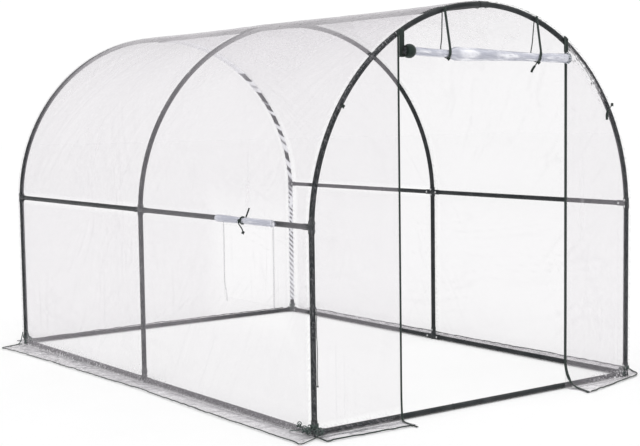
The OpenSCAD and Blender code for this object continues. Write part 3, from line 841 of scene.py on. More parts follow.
def make_roll_tree():
    """A flat sheet rolled round itself into a spiral with its axis along X"""
    w, given, out = new_group(
        "Rolled_Sheet", "GeometryNodeTree",
        [("Width", "NodeSocketFloat", 1.0), ("Turns", "NodeSocketFloat", 10.0),
         ("Core Radius", "NodeSocketFloat", 0.004), ("Outer Radius", "NodeSocketFloat", 0.025),
         ("Columns", "NodeSocketInt", 70), ("Points Per Turn", "NodeSocketInt", 28),
         ("Crease Depth", "NodeSocketFloat", 0.1), ("Seed", "NodeSocketFloat", 0.0),
         ("Material", "NodeSocketMaterial", None)],
        [("Geometry", "NodeSocketGeometry")])
    g = given.outputs
    along = w.maths("ADD", w.maths("MULTIPLY", g["Turns"], g["Points Per Turn"]), 1)
    grid = w.node("GeometryNodeMeshGrid", {
        "Size X": 1.0, "Size Y": 1.0, "Vertices X": g["Columns"], "Vertices Y": along})
    place = w.node("ShaderNodeSeparateXYZ", {0: w.node("GeometryNodeInputPosition").outputs[0]})
    x = w.maths("MULTIPLY", place.outputs["X"], g["Width"])
    share = w.maths("ADD", place.outputs["Y"], 0.5)
    angle = w.maths("MULTIPLY", w.maths("MULTIPLY", share, g["Turns"]), 2 * math.pi)
    grow = w.maths("SUBTRACT", g["Outer Radius"], g["Core Radius"])
    radius = w.maths("MULTIPLY_ADD", share, grow, g["Core Radius"])
    c, s = w.maths("COSINE", angle), w.maths("SINE", angle)
    spot = w.node("ShaderNodeCombineXYZ", {
        "X": w.maths("MULTIPLY_ADD", x, 9.0, g["Seed"]), "Y": w.maths("MULTIPLY", c, 1.1),
        "Z": w.maths("MULTIPLY", s, 1.1)})
    rough = w.node("ShaderNodeTexNoise", {"Vector": spot.outputs[0], "Scale": 1.0, "Detail": 3.0})
    wave = w.maths("MULTIPLY", w.maths("SUBTRACT", rough.outputs[0], 0.5), g["Crease Depth"])
    radius = w.maths("MULTIPLY", radius, w.maths("ADD", wave, 1.0))
    moved = w.node("ShaderNodeCombineXYZ", {
        "X": x, "Y": w.maths("MULTIPLY", radius, c), "Z": w.maths("MULTIPLY", radius, s)})
    shaped = w.node("GeometryNodeSetPosition", {"Geometry": grid.outputs[0], "Position": moved.outputs[0]})
    length = w.maths("MULTIPLY", w.maths("MULTIPLY", angle, radius), 0.5)
    flat = w.node("ShaderNodeCombineXYZ", {"X": x, "Y": length})
    held = w.node("GeometryNodeStoreNamedAttribute", {
        "Geometry": shaped.outputs[0], "Name": "UVMap", "Value": flat.outputs[0]},
        data_type="FLOAT2", domain="CORNER")
    # Painted highlight: streaks stored in the crease field, which the film material mixes towards white
    lines = w.node("ShaderNodeTexNoise", {
        "Vector": w.node("ShaderNodeCombineXYZ", {
            "X": w.maths("MULTIPLY_ADD", x, 5.0, g["Seed"]), "Y": w.maths("MULTIPLY", c, 2.4),
            "Z": w.maths("MULTIPLY", s, 2.4)}).outputs[0], "Scale": 1.6, "Detail": 4.0})
    streak = w.span(lines.outputs[0], 0.5, 0.68, 0.0, 1.0)
    creased = w.node("GeometryNodeStoreNamedAttribute", {
        "Geometry": held.outputs[0], "Name": "crease", "Value": streak},
        data_type="FLOAT", domain="POINT")
    soft = w.node("GeometryNodeSetShadeSmooth", {"Geometry": creased.outputs[0]})
    whole = w.node("GeometryNodeRealizeInstances", {"Geometry": soft.outputs[0]})
    done = w.node("GeometryNodeSetMaterial", {"Geometry": whole.outputs[0], "Material": g["Material"]})
    w.feed(out.inputs["Geometry"], done.outputs[0])


def grown(name, tree, material, values, source=None):
    """A plain mesh piece grown by a node tree from its named inputs"""
    mesh = source or bpy.data.meshes.new(name + "_source")
    holder = bpy.data.objects.new(name + "_source", mesh)
    bpy.context.scene.collection.objects.link(holder)
    modifier = holder.modifiers.new("Grow", "NODES")
    modifier.node_group = bpy.data.node_groups[tree]
    sockets = {i.name: i.identifier for i in modifier.node_group.interface.items_tree
               if i.item_type == "SOCKET" and i.in_out == "INPUT"}
    for key, value in {**values, "Material": bpy.data.materials[material]}.items():
        modifier[sockets[key]] = value
    evaluated = holder.evaluated_get(bpy.context.evaluated_depsgraph_get())
    made = bpy.data.meshes.new_from_object(evaluated)
    holder.modifiers.clear()
    bpy.data.objects.remove(holder)
    made.name = name
    piece = bpy.data.objects.new(name, made)
    bpy.context.scene.collection.objects.link(piece)
    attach(piece, BODY)
    return piece


def reshape(piece, change):
    """Moves a piece's points by a function of their coordinates"""
    mesh = piece.data
    co = np.empty(len(mesh.vertices) * 3, np.float32)
    mesh.vertices.foreach_get("co", co)
    moved = change(co.reshape(-1, 3).astype(float))
    mesh.vertices.foreach_set("co", moved.astype(np.float32).ravel())
    mesh.update()
    return moved


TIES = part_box("door_ties")
TIE_HALF_W = 0.004
TIE_X = [TIES[0].x + TIE_HALF_W, TIES[1].x - TIE_HALF_W]
ROLL_R = 0.025
ROLL_CORE = 0.004


def roll_girth(x):
    """How thick the door roll is along its length, as a share of its plain radius"""
    after = fade(x, TIE_X[0], TIE_X[0] + 0.05)
    taper = 1.30 - 0.46 * fade(x, TIE_X[0] + 0.02, TIE_X[1] - 0.05)
    girth = 0.74 + (taper - 0.74) * after + 0.08 * fade(x, TIE_X[1], TIE_X[1] + 0.10)
    for tie, depth in ((TIE_X[0], 0.10), (TIE_X[1], 0.12)):
        girth = girth - depth * np.exp(-((x - tie) / 0.016) ** 2)
    return girth


def roll_middle(x):
    """Height of the middle of the door roll, which droops a little towards its right end"""
    return ROLL_Z - 0.004 - 0.008 * fade(x, ROLL[0].x, TIE_X[0]) - 0.010 * fade(x, TIE_X[0], ROLL[1].x)


def make_door_roll():
    s = settings()
    half = (ROLL[1].x - ROLL[0].x) / 2
    middle = (ROLL[1].x + ROLL[0].x) / 2
    end_r = (ROLL[1].z - ROLL[0].z) / 2

    def place(p):
        x = p[:, 0] + middle
        girth = roll_girth(x)
        return np.stack([x, ROLL_Y + p[:, 1] * girth, roll_middle(x) + p[:, 2] * girth], 1)

    piece = grown("rolled_door", "Rolled_Sheet", "rolled_film", {
        "Width": 2 * half - 0.004, "Turns": float(s.roll_turns), "Core Radius": ROLL_CORE,
        "Outer Radius": ROLL_R, "Columns": 90, "Points Per Turn": 26, "Crease Depth": 0.22,
        "Seed": 3.0})
    reshape(piece, place)
    for side, width, reach in ((-1, 0.040, end_r), (1, 0.022, end_r * 0.86)):
        band = grown("rolled_door_binding_" + ("left" if side < 0 else "right"), "Rolled_Sheet",
                     "binding_tape" if side < 0 else "folded_binding", {
            "Width": width, "Turns": 9.0, "Core Radius": ROLL_CORE, "Outer Radius": reach,
            "Columns": 10, "Points Per Turn": 26, "Crease Depth": 0.12, "Seed": 5.0 + side})
        centre = middle + side * (half - width / 2)

        def round_off(p, centre=centre, width=width):
            girth = 1 - 0.22 * np.abs(p[:, 0] / (width / 2)) ** 2.5
            x = p[:, 0] + centre
            return np.stack([x, ROLL_Y + p[:, 1] * girth, roll_middle(x) + p[:, 2] * girth], 1)

        reshape(band, round_off)
    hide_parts("door_roll")


def make_window_flap():
    s = settings()
    half = (FLAP[1].y - FLAP[0].y) / 2
    middle = (FLAP[1].y + FLAP[0].y) / 2
    core = 0.003
    tie = sum(c.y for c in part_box("window_tie")) / 2

    def place(p):
        y = middle - p[:, 0]
        girth = 0.92 - 0.28 * np.exp(-((y - tie) / 0.016) ** 2) + 0.08 * fade(y, middle, middle + half)
        return np.stack([FLAP_X + p[:, 1] * girth, y, FLAP_Z + p[:, 2] * girth], 1)

    piece = grown("rolled_window_flap", "Rolled_Sheet", "rolled_film", {
        "Width": 2 * half, "Turns": float(s.flap_turns), "Core Radius": core,
        "Outer Radius": FLAP_R, "Columns": 48, "Points Per Turn": 26, "Crease Depth": 0.25,
        "Seed": 8.0})
    reshape(piece, place)
    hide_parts("window_roll")


# ---- Cords ----

RIGHT_TAIL = [(0, 0, 0), (0, 0, -7), (-3, -1, -13), (-8, -1, -19), (-13, -2, -24),
              (-18, -2, -29), (-23, -2, -34), (-28, -1, -39), (-33, -1, -44), (-37, 0, -50),
              (-41, 0, -56), (-44, 0, -63)]
WINDOW_TAIL = [(0, 0, 0), (-1, -1, -7), (-1, -5, -14), (0, -10, -20), (1, -16, -26),
               (2, -22, -32), (2, -28, -38), (1, -33, -45), (0, -37, -52)]
LEG_STRING = [(0, 0, 0), (2, 0, -5), (5, 0, -11), (7, 0, -20), (8, 1, -32), (7, 1, -44),
              (6, 2, -56), (5, 2, -68), (5, 2, -80), (5, 2, -92), (5, 2, -104), (5, 1, -116),
              (5, 1, -128), (5, 0, -140), (6, 0, -152), (6, 0, -164), (7, 0, -176), (7, 0, -188),
              (7, 0, -200), (7, 0, -212), (7, 0, -224), (6, 0, -236), (6, 0, -248), (6, 0, -260),
              (5, 0, -272), (5, 0, -284), (5, 0, -296), (5, 0, -308), (6, 0, -320),
              (6, 0, -332), (6, 0, -345)]
MM = 0.001
TAIL_D = 0.006
STRING_D = 0.004
CORDS = {
    "right_door_tie_tail": (RIGHT_TAIL, (0.305, -1.5517, 1.6253), TAIL_D),
    "window_tie_tail": (WINDOW_TAIL, (-1.0589, -1.022, 0.905), TAIL_D),
    "leg_string": (LEG_STRING, (-0.9853, -1.5, 0.560), STRING_D),
}


def make_cords():
    for name, (route, start, diameter) in CORDS.items():
        path = smooth_path(np.array(route) * MM + np.array(start), diameter * 0.5)
        parts = tube_parts(path, diameter / 2, sides=12, strands=3, lay=diameter * 4)
        piece = add_piece(name + "_cord", *parts[:2], "tie_string", "string", parts[2])
        if name == "right_door_tie_tail":
            end = tube_parts(path[-12:] + np.array([0, 0, -MM]), diameter * 1.05,
                             sides=12, strands=4, lay=0.03)
        else:
            end = knot_parts(path[-1], diameter * 2.0, diameter * 0.9, turn=0.4)
        knot = add_piece(name + "_end", *end[:2], "tie_string", "string", end[2])
        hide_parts(name)


# ---- Ties round the rolls ----


def make_ties():
    strand, tape = 0.008, 0.0135
    for label, x, top_shift, drop_x in (("left", TIE_X[0], 0.011, -0.012),
                                        ("right", TIE_X[1], 0.023, -0.023)):
        top_x = x + top_shift
        top = float(top_of(np.array(top_x)))
        r = ROLL_R * float(roll_girth(np.array(x))) * 1.05 + strand / 2
        roll_z = float(roll_middle(np.array(x)))
        front = [(top_x, FACE_Y - 0.005, top - 0.006), (top_x, FACE_Y - 0.008, top - 0.03)]
        hang = top - 0.03 - roll_z
        for t in (0.3, 0.6, 0.85):
            front.append((top_x + drop_x * t, FACE_Y - 0.008 - (r - ROLL_Y + FACE_Y - 0.008) * t,
                          top - 0.03 - hang * t))
        around = [(x + drop_x * 0.3, ROLL_Y + r * math.cos(a), roll_z + r * math.sin(a))
                  for a in np.radians([180, 205, 235, 265, 295, 320])]
        back = [(x - 0.004, FACE_Y + 0.007, roll_z + 0.02),
                (x + 0.3 * top_shift, FACE_Y + 0.009, roll_z + 0.35 * (top - roll_z)),
                (top_x - 0.004, FACE_Y + 0.009, top - 0.03)]
        path = smooth_path(front + around, 0.004)
        outward = np.stack([path[:, 0] * 0, np.minimum(path[:, 1] - ROLL_Y, -0.004), path[:, 2] * 0], 1)
        low = path[:, 2] < roll_z + r
        outward[low] = (path - np.array([x, ROLL_Y, roll_z]))[low] * np.array([0, 1, 1])
        outward[~low] = (0, -1, 0)
        loop = ribbon_parts(path, outward, tape, 0.003)
        behind = tube_parts(smooth_path(around[-1:] + back, 0.004), strand / 2 * 0.7,
                            sides=8, strands=2, lay=0.02)
        knot = knot_parts((x, ROLL_Y - 0.004, roll_z - r - 0.002), 0.013, strand)
        points, faces, uv = join_parts([loop, behind, knot])
        add_piece("door_tie_" + label, points, faces, "tie_string", "binding", uv)
    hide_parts("door_ties")
    tie_y = sum(c.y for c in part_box("window_tie")) / 2
    r = FLAP_R * 0.92 * 0.72 + strand / 2
    ring = [(FLAP_X + r * math.cos(a), tie_y + 0.003 * math.cos(a), FLAP_Z + r * math.sin(a))
            for a in np.linspace(0.2, 2 * math.pi - 0.2, 20)]
    top = float(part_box("window_tie")[1].z)
    lifted = [(-COVER_R - 0.003, tie_y - 0.030, top - 0.004),
              (-COVER_R - 0.006, tie_y - 0.020, FLAP_Z + 0.034)]
    loop = tube_parts(smooth_path(lifted + ring, 0.003), strand / 2, sides=10, strands=2, lay=0.02)
    knot_x = FLAP_X - r - 0.002
    knot = knot_parts((knot_x, tie_y, FLAP_Z), 0.012, strand)
    points, faces, uv = join_parts([loop, knot])
    piece = add_piece("window_tie_loop", points, faces, "tie_string", "binding", uv)
    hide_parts("window_tie")


# ---- Bindings ----


def ribbon_parts(path, outward, width, thick):
    """A flat closed tape along a path, lying square to the outward direction at each point"""
    path, outward = np.asarray(path, float), np.asarray(outward, float)
    if outward.ndim == 1:
        outward = np.repeat(outward[None, :], len(path), 0)
    along = np.gradient(path, axis=0)
    along /= np.linalg.norm(along, axis=1)[:, None]
    outward = outward - along * (outward * along).sum(1)[:, None]
    outward /= np.linalg.norm(outward, axis=1)[:, None]
    side = np.cross(along, outward)
    length = np.concatenate([[0], np.cumsum(np.linalg.norm(np.diff(path, axis=0), axis=1))])
    shape = [(-0.5, -0.35), (-0.5, 0.35), (-0.42, 0.5), (0.42, 0.5), (0.5, 0.35), (0.5, -0.35),
             (0.42, -0.5), (-0.42, -0.5)]
    points, uv = [], []
    for a, b in shape:
        points.append(path + a * width * side + b * thick * outward)
        uv.append(np.stack([np.full(len(path), a * width), length], 1))
    n, m = len(path), len(shape)
    points = np.stack(points, 1).reshape(-1, 3)
    uv = np.stack(uv, 1).reshape(-1, 2)
    faces = []
    for i in range(n - 1):
        for j in range(m):
            k = (j + 1) % m
            faces.append((i * m + j, i * m + k, (i + 1) * m + k, (i + 1) * m + j))
    faces.append(tuple(range(m - 1, -1, -1)))
    faces.append(tuple((n - 1) * m + j for j in range(m)))
    return points, faces, uv


def door_edge_route(side):
    """Down one edge of the doorway, and out over the ground at its foot"""
    y = FACE_Y - 0.003
    x = DOOR_LEFT if side < 0 else DOOR_RIGHT
    route = [(x, y, z) for z in (float(top_of(np.array(x))) - 0.004, 1.66, 1.45, 1.2, 0.9, 0.6, 0.35, 0.16)]
    if side > 0:
        route += [(x + 0.004, y - 0.002, 0.10), (x + 0.018, y - 0.006, 0.055), (x + 0.040, y - 0.016, 0.018),
                  (x + 0.046, y - 0.045, 0.006), (x + 0.030, y - 0.100, 0.005),
                  (x + 0.014, -HEM_Y + 0.004, 0.005)]
    else:
        route += [(x + 0.001, y, 0.08), (x, y - 0.004, 0.03), (x - 0.006, y - 0.014, 0.007),
                  (x - 0.018, y - 0.06, 0.005), (x - 0.028, -HEM_Y + 0.004, 0.005)]
    return smooth_path(route, 0.02)


def make_bindings():
    outer = np.array([0, -1.0, 0])
    parts = []
    for side in (-1, 1):
        path = door_edge_route(side)
        lying = fade(-path[:, 2], -0.06, -0.01)[:, None]
        outward = outer * (1 - lying) + np.array([0, 0, 1.0]) * lying
        parts.append(ribbon_parts(path, outward, BINDING_W * (0.62 if side < 0 else 1.1), 0.0028))
    band_x = DOOR_LEFT + 0.020
    top = float(top_of(np.array(band_x)))
    band = [(band_x, FACE_Y - 0.004, z) for z in np.linspace(top - 0.006, ROLL_Z - 0.03, 14)]
    parts.append(ribbon_parts(band, outer, HEAD_BAND_W, 0.0022))
    for shift in (-0.008, 0.010):
        x = DOOR_RIGHT + shift
        top = float(top_of(np.array(x)))
        strip = [(x, FACE_Y - 0.004, z) for z in np.linspace(top - 0.004, ROLL_Z + 0.01, 8)]
        parts.append(ribbon_parts(strip, outer, HEAD_STRIP_W, 0.002))
    points, faces, uv = join_parts(parts)
    piece = add_piece("edge_binding_tapes", points, faces, "binding_tape", "binding", uv)
    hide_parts("edge_bindings")
    parts = []
    for y, off, bend in ((WINDOW_Y[0], -0.004, 0.0), (WINDOW_Y[1], 0.004, 0.018)):
        route = [(-COVER_R - 0.0012, y + off - bend * (1 - fade(z, WINDOW_Z[0], WINDOW_Z[0] + 0.07)), z)
                 for z in np.linspace(WINDOW_Z[1] + 0.02, WINDOW_Z[0] - 0.02, 24)]
        parts.append(ribbon_parts(route, (-1.0, 0, 0), 0.008, 0.002))
    points, faces, uv = join_parts(parts)
    add_piece("window_edge_welts", points, faces, "welt_film", "film", uv)


def make_hems():
    """Thin dark piping along the edges of all the skirts, and back to the wall at their corners"""
    lift = 0.0055
    along_y = np.linspace(-COVER_Y, COVER_Y, 60)
    drawn = along_y + drawn_forward(along_y, 1)
    left = [(-COVER_R, -COVER_Y - 0.02)] + list(zip(-hem_reach(LEFT_HEM, along_y), drawn))
    left.append((-COVER_R - 0.02, COVER_Y - 0.03))
    right = list(zip(hem_reach(RIGHT_HEM, along_y), along_y))
    first = np.linspace(-COVER_R, DOOR_LEFT - 0.02, 16)
    second = np.linspace(DOOR_RIGHT + 0.03, COVER_R, 16)
    rear = np.linspace(-COVER_R, COVER_R, 40)
    lines = [left, list(zip(second, -hem_reach(FRONT_HEM, second))) + right,
             [(-COVER_R, -COVER_Y - 0.02)] + list(zip(first, -hem_reach(FRONT_HEM, first))),
             list(zip(rear, hem_reach(REAR_HEM, rear)))]
    parts = []
    for i, line in enumerate(lines):
        path = smooth_path([(x, y, lift) for x, y in line], 0.02)
        path[:, 2] += 0.004 * np.abs(noise(path[:, 0] * 12 + path[:, 1] * 12, path[:, 1] * 0 + i, 40))
        parts.append(tube_parts(path, 0.0026 if i in (0, 3) else 0.0034, sides=8))
    points, faces, uv = join_parts(parts)
    return add_piece("skirt_hems", points, faces, "binding_tape", "binding", uv)


# ---- Stitches and bolts, by Geometry Nodes ----


def make_stitch_tree():
    """Short threads, one after another, along the edges of a path"""
    w, given, out = new_group(
        "Stitch_Row", "GeometryNodeTree",
        [("Geometry", "NodeSocketGeometry", None), ("Pitch", "NodeSocketFloat", 0.01),
         ("Length", "NodeSocketFloat", 0.006), ("Thickness", "NodeSocketFloat", 0.001),
         ("Material", "NodeSocketMaterial", None)],
        [("Geometry", "NodeSocketGeometry")])
    g = given.outputs
    curve = w.node("GeometryNodeMeshToCurve", {0: g["Geometry"]})
    dots = w.node("GeometryNodeCurveToPoints", {"Curve": curve.outputs[0], "Length": g["Pitch"]},
                  mode="LENGTH")
    thread = w.node("GeometryNodeMeshUVSphere", {"Segments": 6, "Rings": 4, "Radius": 0.5})
    turned = w.node("FunctionNodeAlignRotationToVector", {"Vector": dots.outputs["Tangent"]}, axis="X")
    size = w.node("ShaderNodeCombineXYZ", {"X": g["Length"], "Y": g["Thickness"], "Z": g["Thickness"]})
    sewn = w.node("GeometryNodeInstanceOnPoints", {
        "Points": dots.outputs["Points"], "Instance": thread.outputs[0],
        "Rotation": turned.outputs[0], "Scale": size.outputs[0]})
    whole = w.node("GeometryNodeRealizeInstances", {"Geometry": sewn.outputs[0]})
    done = w.node("GeometryNodeSetMaterial", {"Geometry": whole.outputs[0], "Material": g["Material"]})
    w.feed(out.inputs["Geometry"], done.outputs[0])


def path_mesh(name, paths):
    points, edges, start = [], [], 0
    for path in paths:
        points.extend(tuple(p) for p in path)
        edges.extend((start + i, start + i + 1) for i in range(len(path) - 1))
        start += len(path)
    mesh = bpy.data.meshes.new(name)
    mesh.from_pydata(points, edges, [])
    return mesh


def make_stitches():
    s = settings()
    rows = []
    for side in (-1, 1):
        path = door_edge_route(side)
        path = path[path[:, 2] > 0.12]
        for shift in (-0.0035, 0.0035):
            rows.append(path + np.array([shift, -0.0016, 0]))
    for y in WINDOW_Y:
        rows.append(np.array([(-COVER_R - 0.0024, y, z) for z in np.linspace(WINDOW_Z[1], WINDOW_Z[0], 12)]))
    grown("binding_stitches", "Stitch_Row", "tie_string", {
        "Pitch": s.stitch_pitch, "Length": 0.006, "Thickness": 0.0011},
        source=path_mesh("stitch_paths", rows))


def make_bolt_tree():
    """A domed bolt head with its washer at each point, facing the way the point's arrow says"""
    w, given, out = new_group(
        "Bolt_Heads", "GeometryNodeTree",
        [("Geometry", "NodeSocketGeometry", None), ("Diameter", "NodeSocketFloat", 0.01),
         ("Height", "NodeSocketFloat", 0.004), ("Material", "NodeSocketMaterial", None)],
        [("Geometry", "NodeSocketGeometry")])
    g = given.outputs
    radius = w.maths("MULTIPLY", g["Diameter"], 0.5)
    dome = w.node("GeometryNodeMeshUVSphere", {"Segments": 12, "Rings": 8, "Radius": 1.0})
    shape = w.node("ShaderNodeCombineXYZ", {"X": radius, "Y": radius, "Z": g["Height"]})
    head = w.node("GeometryNodeTransform", {"Geometry": dome.outputs[0], "Scale": shape.outputs[0]})
    washer = w.node("GeometryNodeMeshCylinder", {
        "Vertices": 16, "Radius": w.maths("MULTIPLY", radius, 1.35),
        "Depth": w.maths("MULTIPLY", g["Height"], 0.35)})
    both = w.node("GeometryNodeJoinGeometry")
    w.feed(both.inputs[0], head.outputs[0])
    w.feed(both.inputs[0], washer.outputs[0])
    arrow = w.node("GeometryNodeInputNamedAttribute", {"Name": "arrow"}, data_type="FLOAT_VECTOR")
    turned = w.node("FunctionNodeAlignRotationToVector", {"Vector": arrow.outputs[0]}, axis="Z")
    dots = w.node("GeometryNodeMeshToPoints", {"Mesh": g["Geometry"]})
    placed = w.node("GeometryNodeInstanceOnPoints", {
        "Points": dots.outputs[0], "Instance": both.outputs[0], "Rotation": turned.outputs[0]})
    whole = w.node("GeometryNodeRealizeInstances", {"Geometry": placed.outputs[0]})
    smooth = w.node("GeometryNodeSetShadeSmooth", {"Geometry": whole.outputs[0]})
    done = w.node("GeometryNodeSetMaterial", {"Geometry": smooth.outputs[0], "Material": g["Material"]})
    w.feed(out.inputs["Geometry"], done.outputs[0])


# How far a bolt's seat lies from the middle of its tube, and how far along from the joint
COLLAR_R = 0.0154
SOCKET_R = 0.0143
RIDGE_SOCKET_R = 0.0150
CROSS_BOLT = 0.016
RAIL_BOLT = 0.040
BASE_RAIL_BOLT = 0.042


def bolt_places():
    """Where the frame's bolts sit, and which way each one faces"""
    out = []
    ridge = SPRING_Z + ARCH_R
    hoops = list(zip(HOOP_Y, ((1,), (-1, 1), (-1,))))
    for side in (-1, 1):
        inward = (-side, 0, 0)
        for y, ways in hoops:
            for rise in (CROSS_BOLT, -CROSS_BOLT):
                out.append(((side * (WAIST_X - COLLAR_R), y, WAIST_Z + rise), inward))
            for way in ways:
                out.append(((side * (WAIST_X - SOCKET_R), y + way * RAIL_BOLT, WAIST_Z), inward))
                out.append(((side * (ARCH_R - SOCKET_R), y + way * BASE_RAIL_BOLT, BASE_Z), inward))
            out.append(((side * (ARCH_R - SOCKET_R), y, BASE_Z + RAIL_BOLT), inward))
    for y, ways in hoops:
        for way in ways:
            out.append(((0, y + way * RAIL_BOLT, ridge - SOCKET_R), (0, 0, -1)))
        for x in (CROSS_BOLT, -CROSS_BOLT):
            out.append(((x, y, ridge - RIDGE_SOCKET_R), (0, 0, -1)))
    return out


def make_bolts():
    places = bolt_places()
    mesh = bpy.data.meshes.new("bolt_places")
    mesh.from_pydata([p for p, _ in places], [], [])
    held = mesh.attributes.new("arrow", "FLOAT_VECTOR", "POINT")
    held.data.foreach_set("vector", np.array([a for _, a in places], np.float32).ravel())
    grown("frame_bolts", "Bolt_Heads", "zinc_bolt", {
        "Diameter": settings().bolt_d, "Height": 0.0035}, source=mesh)


# ---- Tube joints ----


def ring_parts(centre, along, radius, width, proud, sides=32):
    """A rounded ring that stands proud of a tube"""
    along = np.asarray(along, float) / np.linalg.norm(along)
    start = np.cross(along, (0, 0, 1.0)) if abs(along[2]) < 0.9 else np.cross(along, (1.0, 0, 0))
    start /= np.linalg.norm(start)
    up = np.cross(along, start)
    turn = 2 * np.pi * np.arange(sides) / sides
    round_it = np.cos(turn)[:, None] * start + np.sin(turn)[:, None] * up
    profile = [(-0.5, 0), (-0.4, 0.75), (-0.2, 1), (0.2, 1), (0.4, 0.75), (0.5, 0)]
    points, uv = [], []
    for a, b in profile:
        points.append(np.asarray(centre) + a * width * along + (radius + b * proud) * round_it)
        uv.append(np.stack([turn * radius, np.full(sides, a * width)], 1))
    m = len(profile)
    faces = []
    for i in range(m - 1):
        for j in range(sides):
            k = (j + 1) % sides
            faces.append((i * sides + j, i * sides + k, (i + 1) * sides + k, (i + 1) * sides + j))
    for j in range(sides):
        k = (j + 1) % sides
        faces.append(((m - 1) * sides + j, (m - 1) * sides + k, k, j))
    return np.concatenate(points), faces, np.concatenate(uv)


def make_joint_rings():
    """The rolled ends where one tube slides into the next"""
    parts = []

    def ring(centre, along):
        parts.append(ring_parts(centre, along, TUBE_R - 0.0002, 0.005, 0.0011))

    for side in (-1, 1):
        for y in HOOP_Y:
            for z in (0.43, 0.53):
                ring((side * ARCH_R, y, z), (0, 0, 1))
            a = math.radians(31.5)
            c, s = math.cos(a), math.sin(a)
            ring((side * ARCH_R * c, y, SPRING_Z + ARCH_R * s), (-side * s, 0, c))
        for y in (-0.56, 0.44):
            ring((side * ARCH_R, y, BASE_Z), (0, 1, 0))
        for y in (-0.55, 0.48):
            ring((side * WAIST_X, y, WAIST_Z), (0, 1, 0))
    for x in (-0.48, 0.20):
        ring((x, HOOP_Y[2], BASE_Z), (1, 0, 0))
    for x in (-0.20, 0.48):
        ring((x, HOOP_Y[0], BASE_Z), (1, 0, 0))
    for y in (-0.75, 0.75):
        ring((0, y, SPRING_Z + ARCH_R), (0, 1, 0))
    points, faces, uv = join_parts(parts)
    add_piece("tube_joint_rings", points, faces, "fitting_paint", "tube", uv)


# ---- Strings round the feet and the hoop ----


def winding(centre, axis, radius, turns, pitch, thread, seed):
    """A string wound round a tube, a little uneven"""
    axis = np.asarray(axis, float)
    start = np.cross(axis, (0, 0, 1.0)) if abs(axis[2]) < 0.9 else np.array([1.0, 0, 0])
    start /= np.linalg.norm(start)
    up = np.cross(axis, start)
    t = np.linspace(0, 2 * np.pi * turns, int(turns * 18) + 1)
    loose = radius + thread / 2 + 0.0008 * (1 + noise(t * 0.7, t * 0, seed))
    along = (t / (2 * np.pi * turns) - 0.5) * turns * pitch + 0.0015 * noise(t * 0.4, t * 0, seed + 1)
    path = (np.asarray(centre) + along[:, None] * axis + (loose * np.cos(t))[:, None] * start
            + (loose * np.sin(t))[:, None] * up)
    path[:, 2] = np.maximum(path[:, 2], thread / 2 + 0.0003)
    return tube_parts(path, thread / 2, sides=8, strands=2, lay=thread * 4)


def string_parts(route, thread):
    return tube_parts(smooth_path(route, 0.004), thread / 2, sides=8, strands=2, lay=thread * 4)


def make_foot_strings():
    thread = 0.005
    front, rear = HOOP_Y[0], HOOP_Y[2]
    foot = -ARCH_R
    parts = [
        knot_parts((foot - 0.034, front - 0.010, 0.040), 0.040, thread, turn=0.3),
        knot_parts((foot - 0.030, front + 0.030, 0.030), 0.034, thread, turn=1.2),
        knot_parts((foot - 0.010, front - 0.038, 0.028), 0.036, thread, turn=2.0),
        knot_parts((foot - 0.040, front + 0.055, 0.048), 0.026, thread, turn=0.8),
        string_parts([(foot - 0.035, front + 0.03, 0.03), (foot - 0.05, front + 0.085, 0.02),
                      (foot - 0.04, front + 0.13, 0.006)], thread),
        string_parts([(foot - 0.020, rear, 0.075), (foot - 0.030, rear - 0.004, 0.045),
                      (foot - 0.042, rear - 0.010, 0.018), (foot - 0.062, rear - 0.017, 0.006),
                      (foot - 0.075, rear - 0.020, 0.006)], thread * 1.3),
        string_parts([(foot - 0.020, rear - 0.010, 0.060), (foot - 0.024, rear - 0.050, 0.085),
                      (foot - 0.024, rear - 0.085, 0.080), (foot - 0.024, rear - 0.110, 0.052),
                      (foot - 0.024, rear - 0.120, 0.030)], thread * 0.8),
    ]
    for i, (side, end) in enumerate([(-1, 0), (1, 0), (-1, 2), (1, 2)]):
        x, y = side * ARCH_R, HOOP_Y[end]
        inward = 1 if end == 0 else -1
        parts.append(winding((x, y, BASE_Z + 0.030), (0, 0, 1), 0.0146, 3, 0.006, thread, 50 + i))
        parts.append(winding((x, y + inward * 0.030, BASE_Z), (0, 1, 0), 0.0146, 2, 0.007, thread, 60 + i))
        parts.append(winding((x - side * 0.030, y, BASE_Z), (1, 0, 0), 0.0146, 2, 0.007, thread, 70 + i))
        knot = (x - side * 0.018, y + inward * 0.020, BASE_Z + 0.022)
        parts.append(knot_parts(knot, 0.016, thread, turn=0.5 * i))
    points, faces, uv = join_parts(parts)
    add_piece("foot_strings", points, faces, "faded_string", "string", uv)
    y = FACE_Y - 0.018
    knots = [
        knot_parts((-0.850, y, 1.408), 0.014, thread * 1.3, turn=0.3),
        knot_parts((0.850, y, 1.404), 0.014, thread * 1.3, turn=1.0),
        string_parts([(0.850, y, 1.404), (0.838, y - 0.002, 1.395), (0.820, y, 1.376)], thread),
        tube_parts(smooth_path([(0.820, y, 1.376), (0.812, y, 1.356), (0.812, y, 1.330)], 0.004), 0.007,
                   sides=10, strands=3, lay=0.03),
    ]
    points, faces, uv = join_parts(knots)
    add_piece("hoop_strings", points, faces, "tie_string", "string", uv)


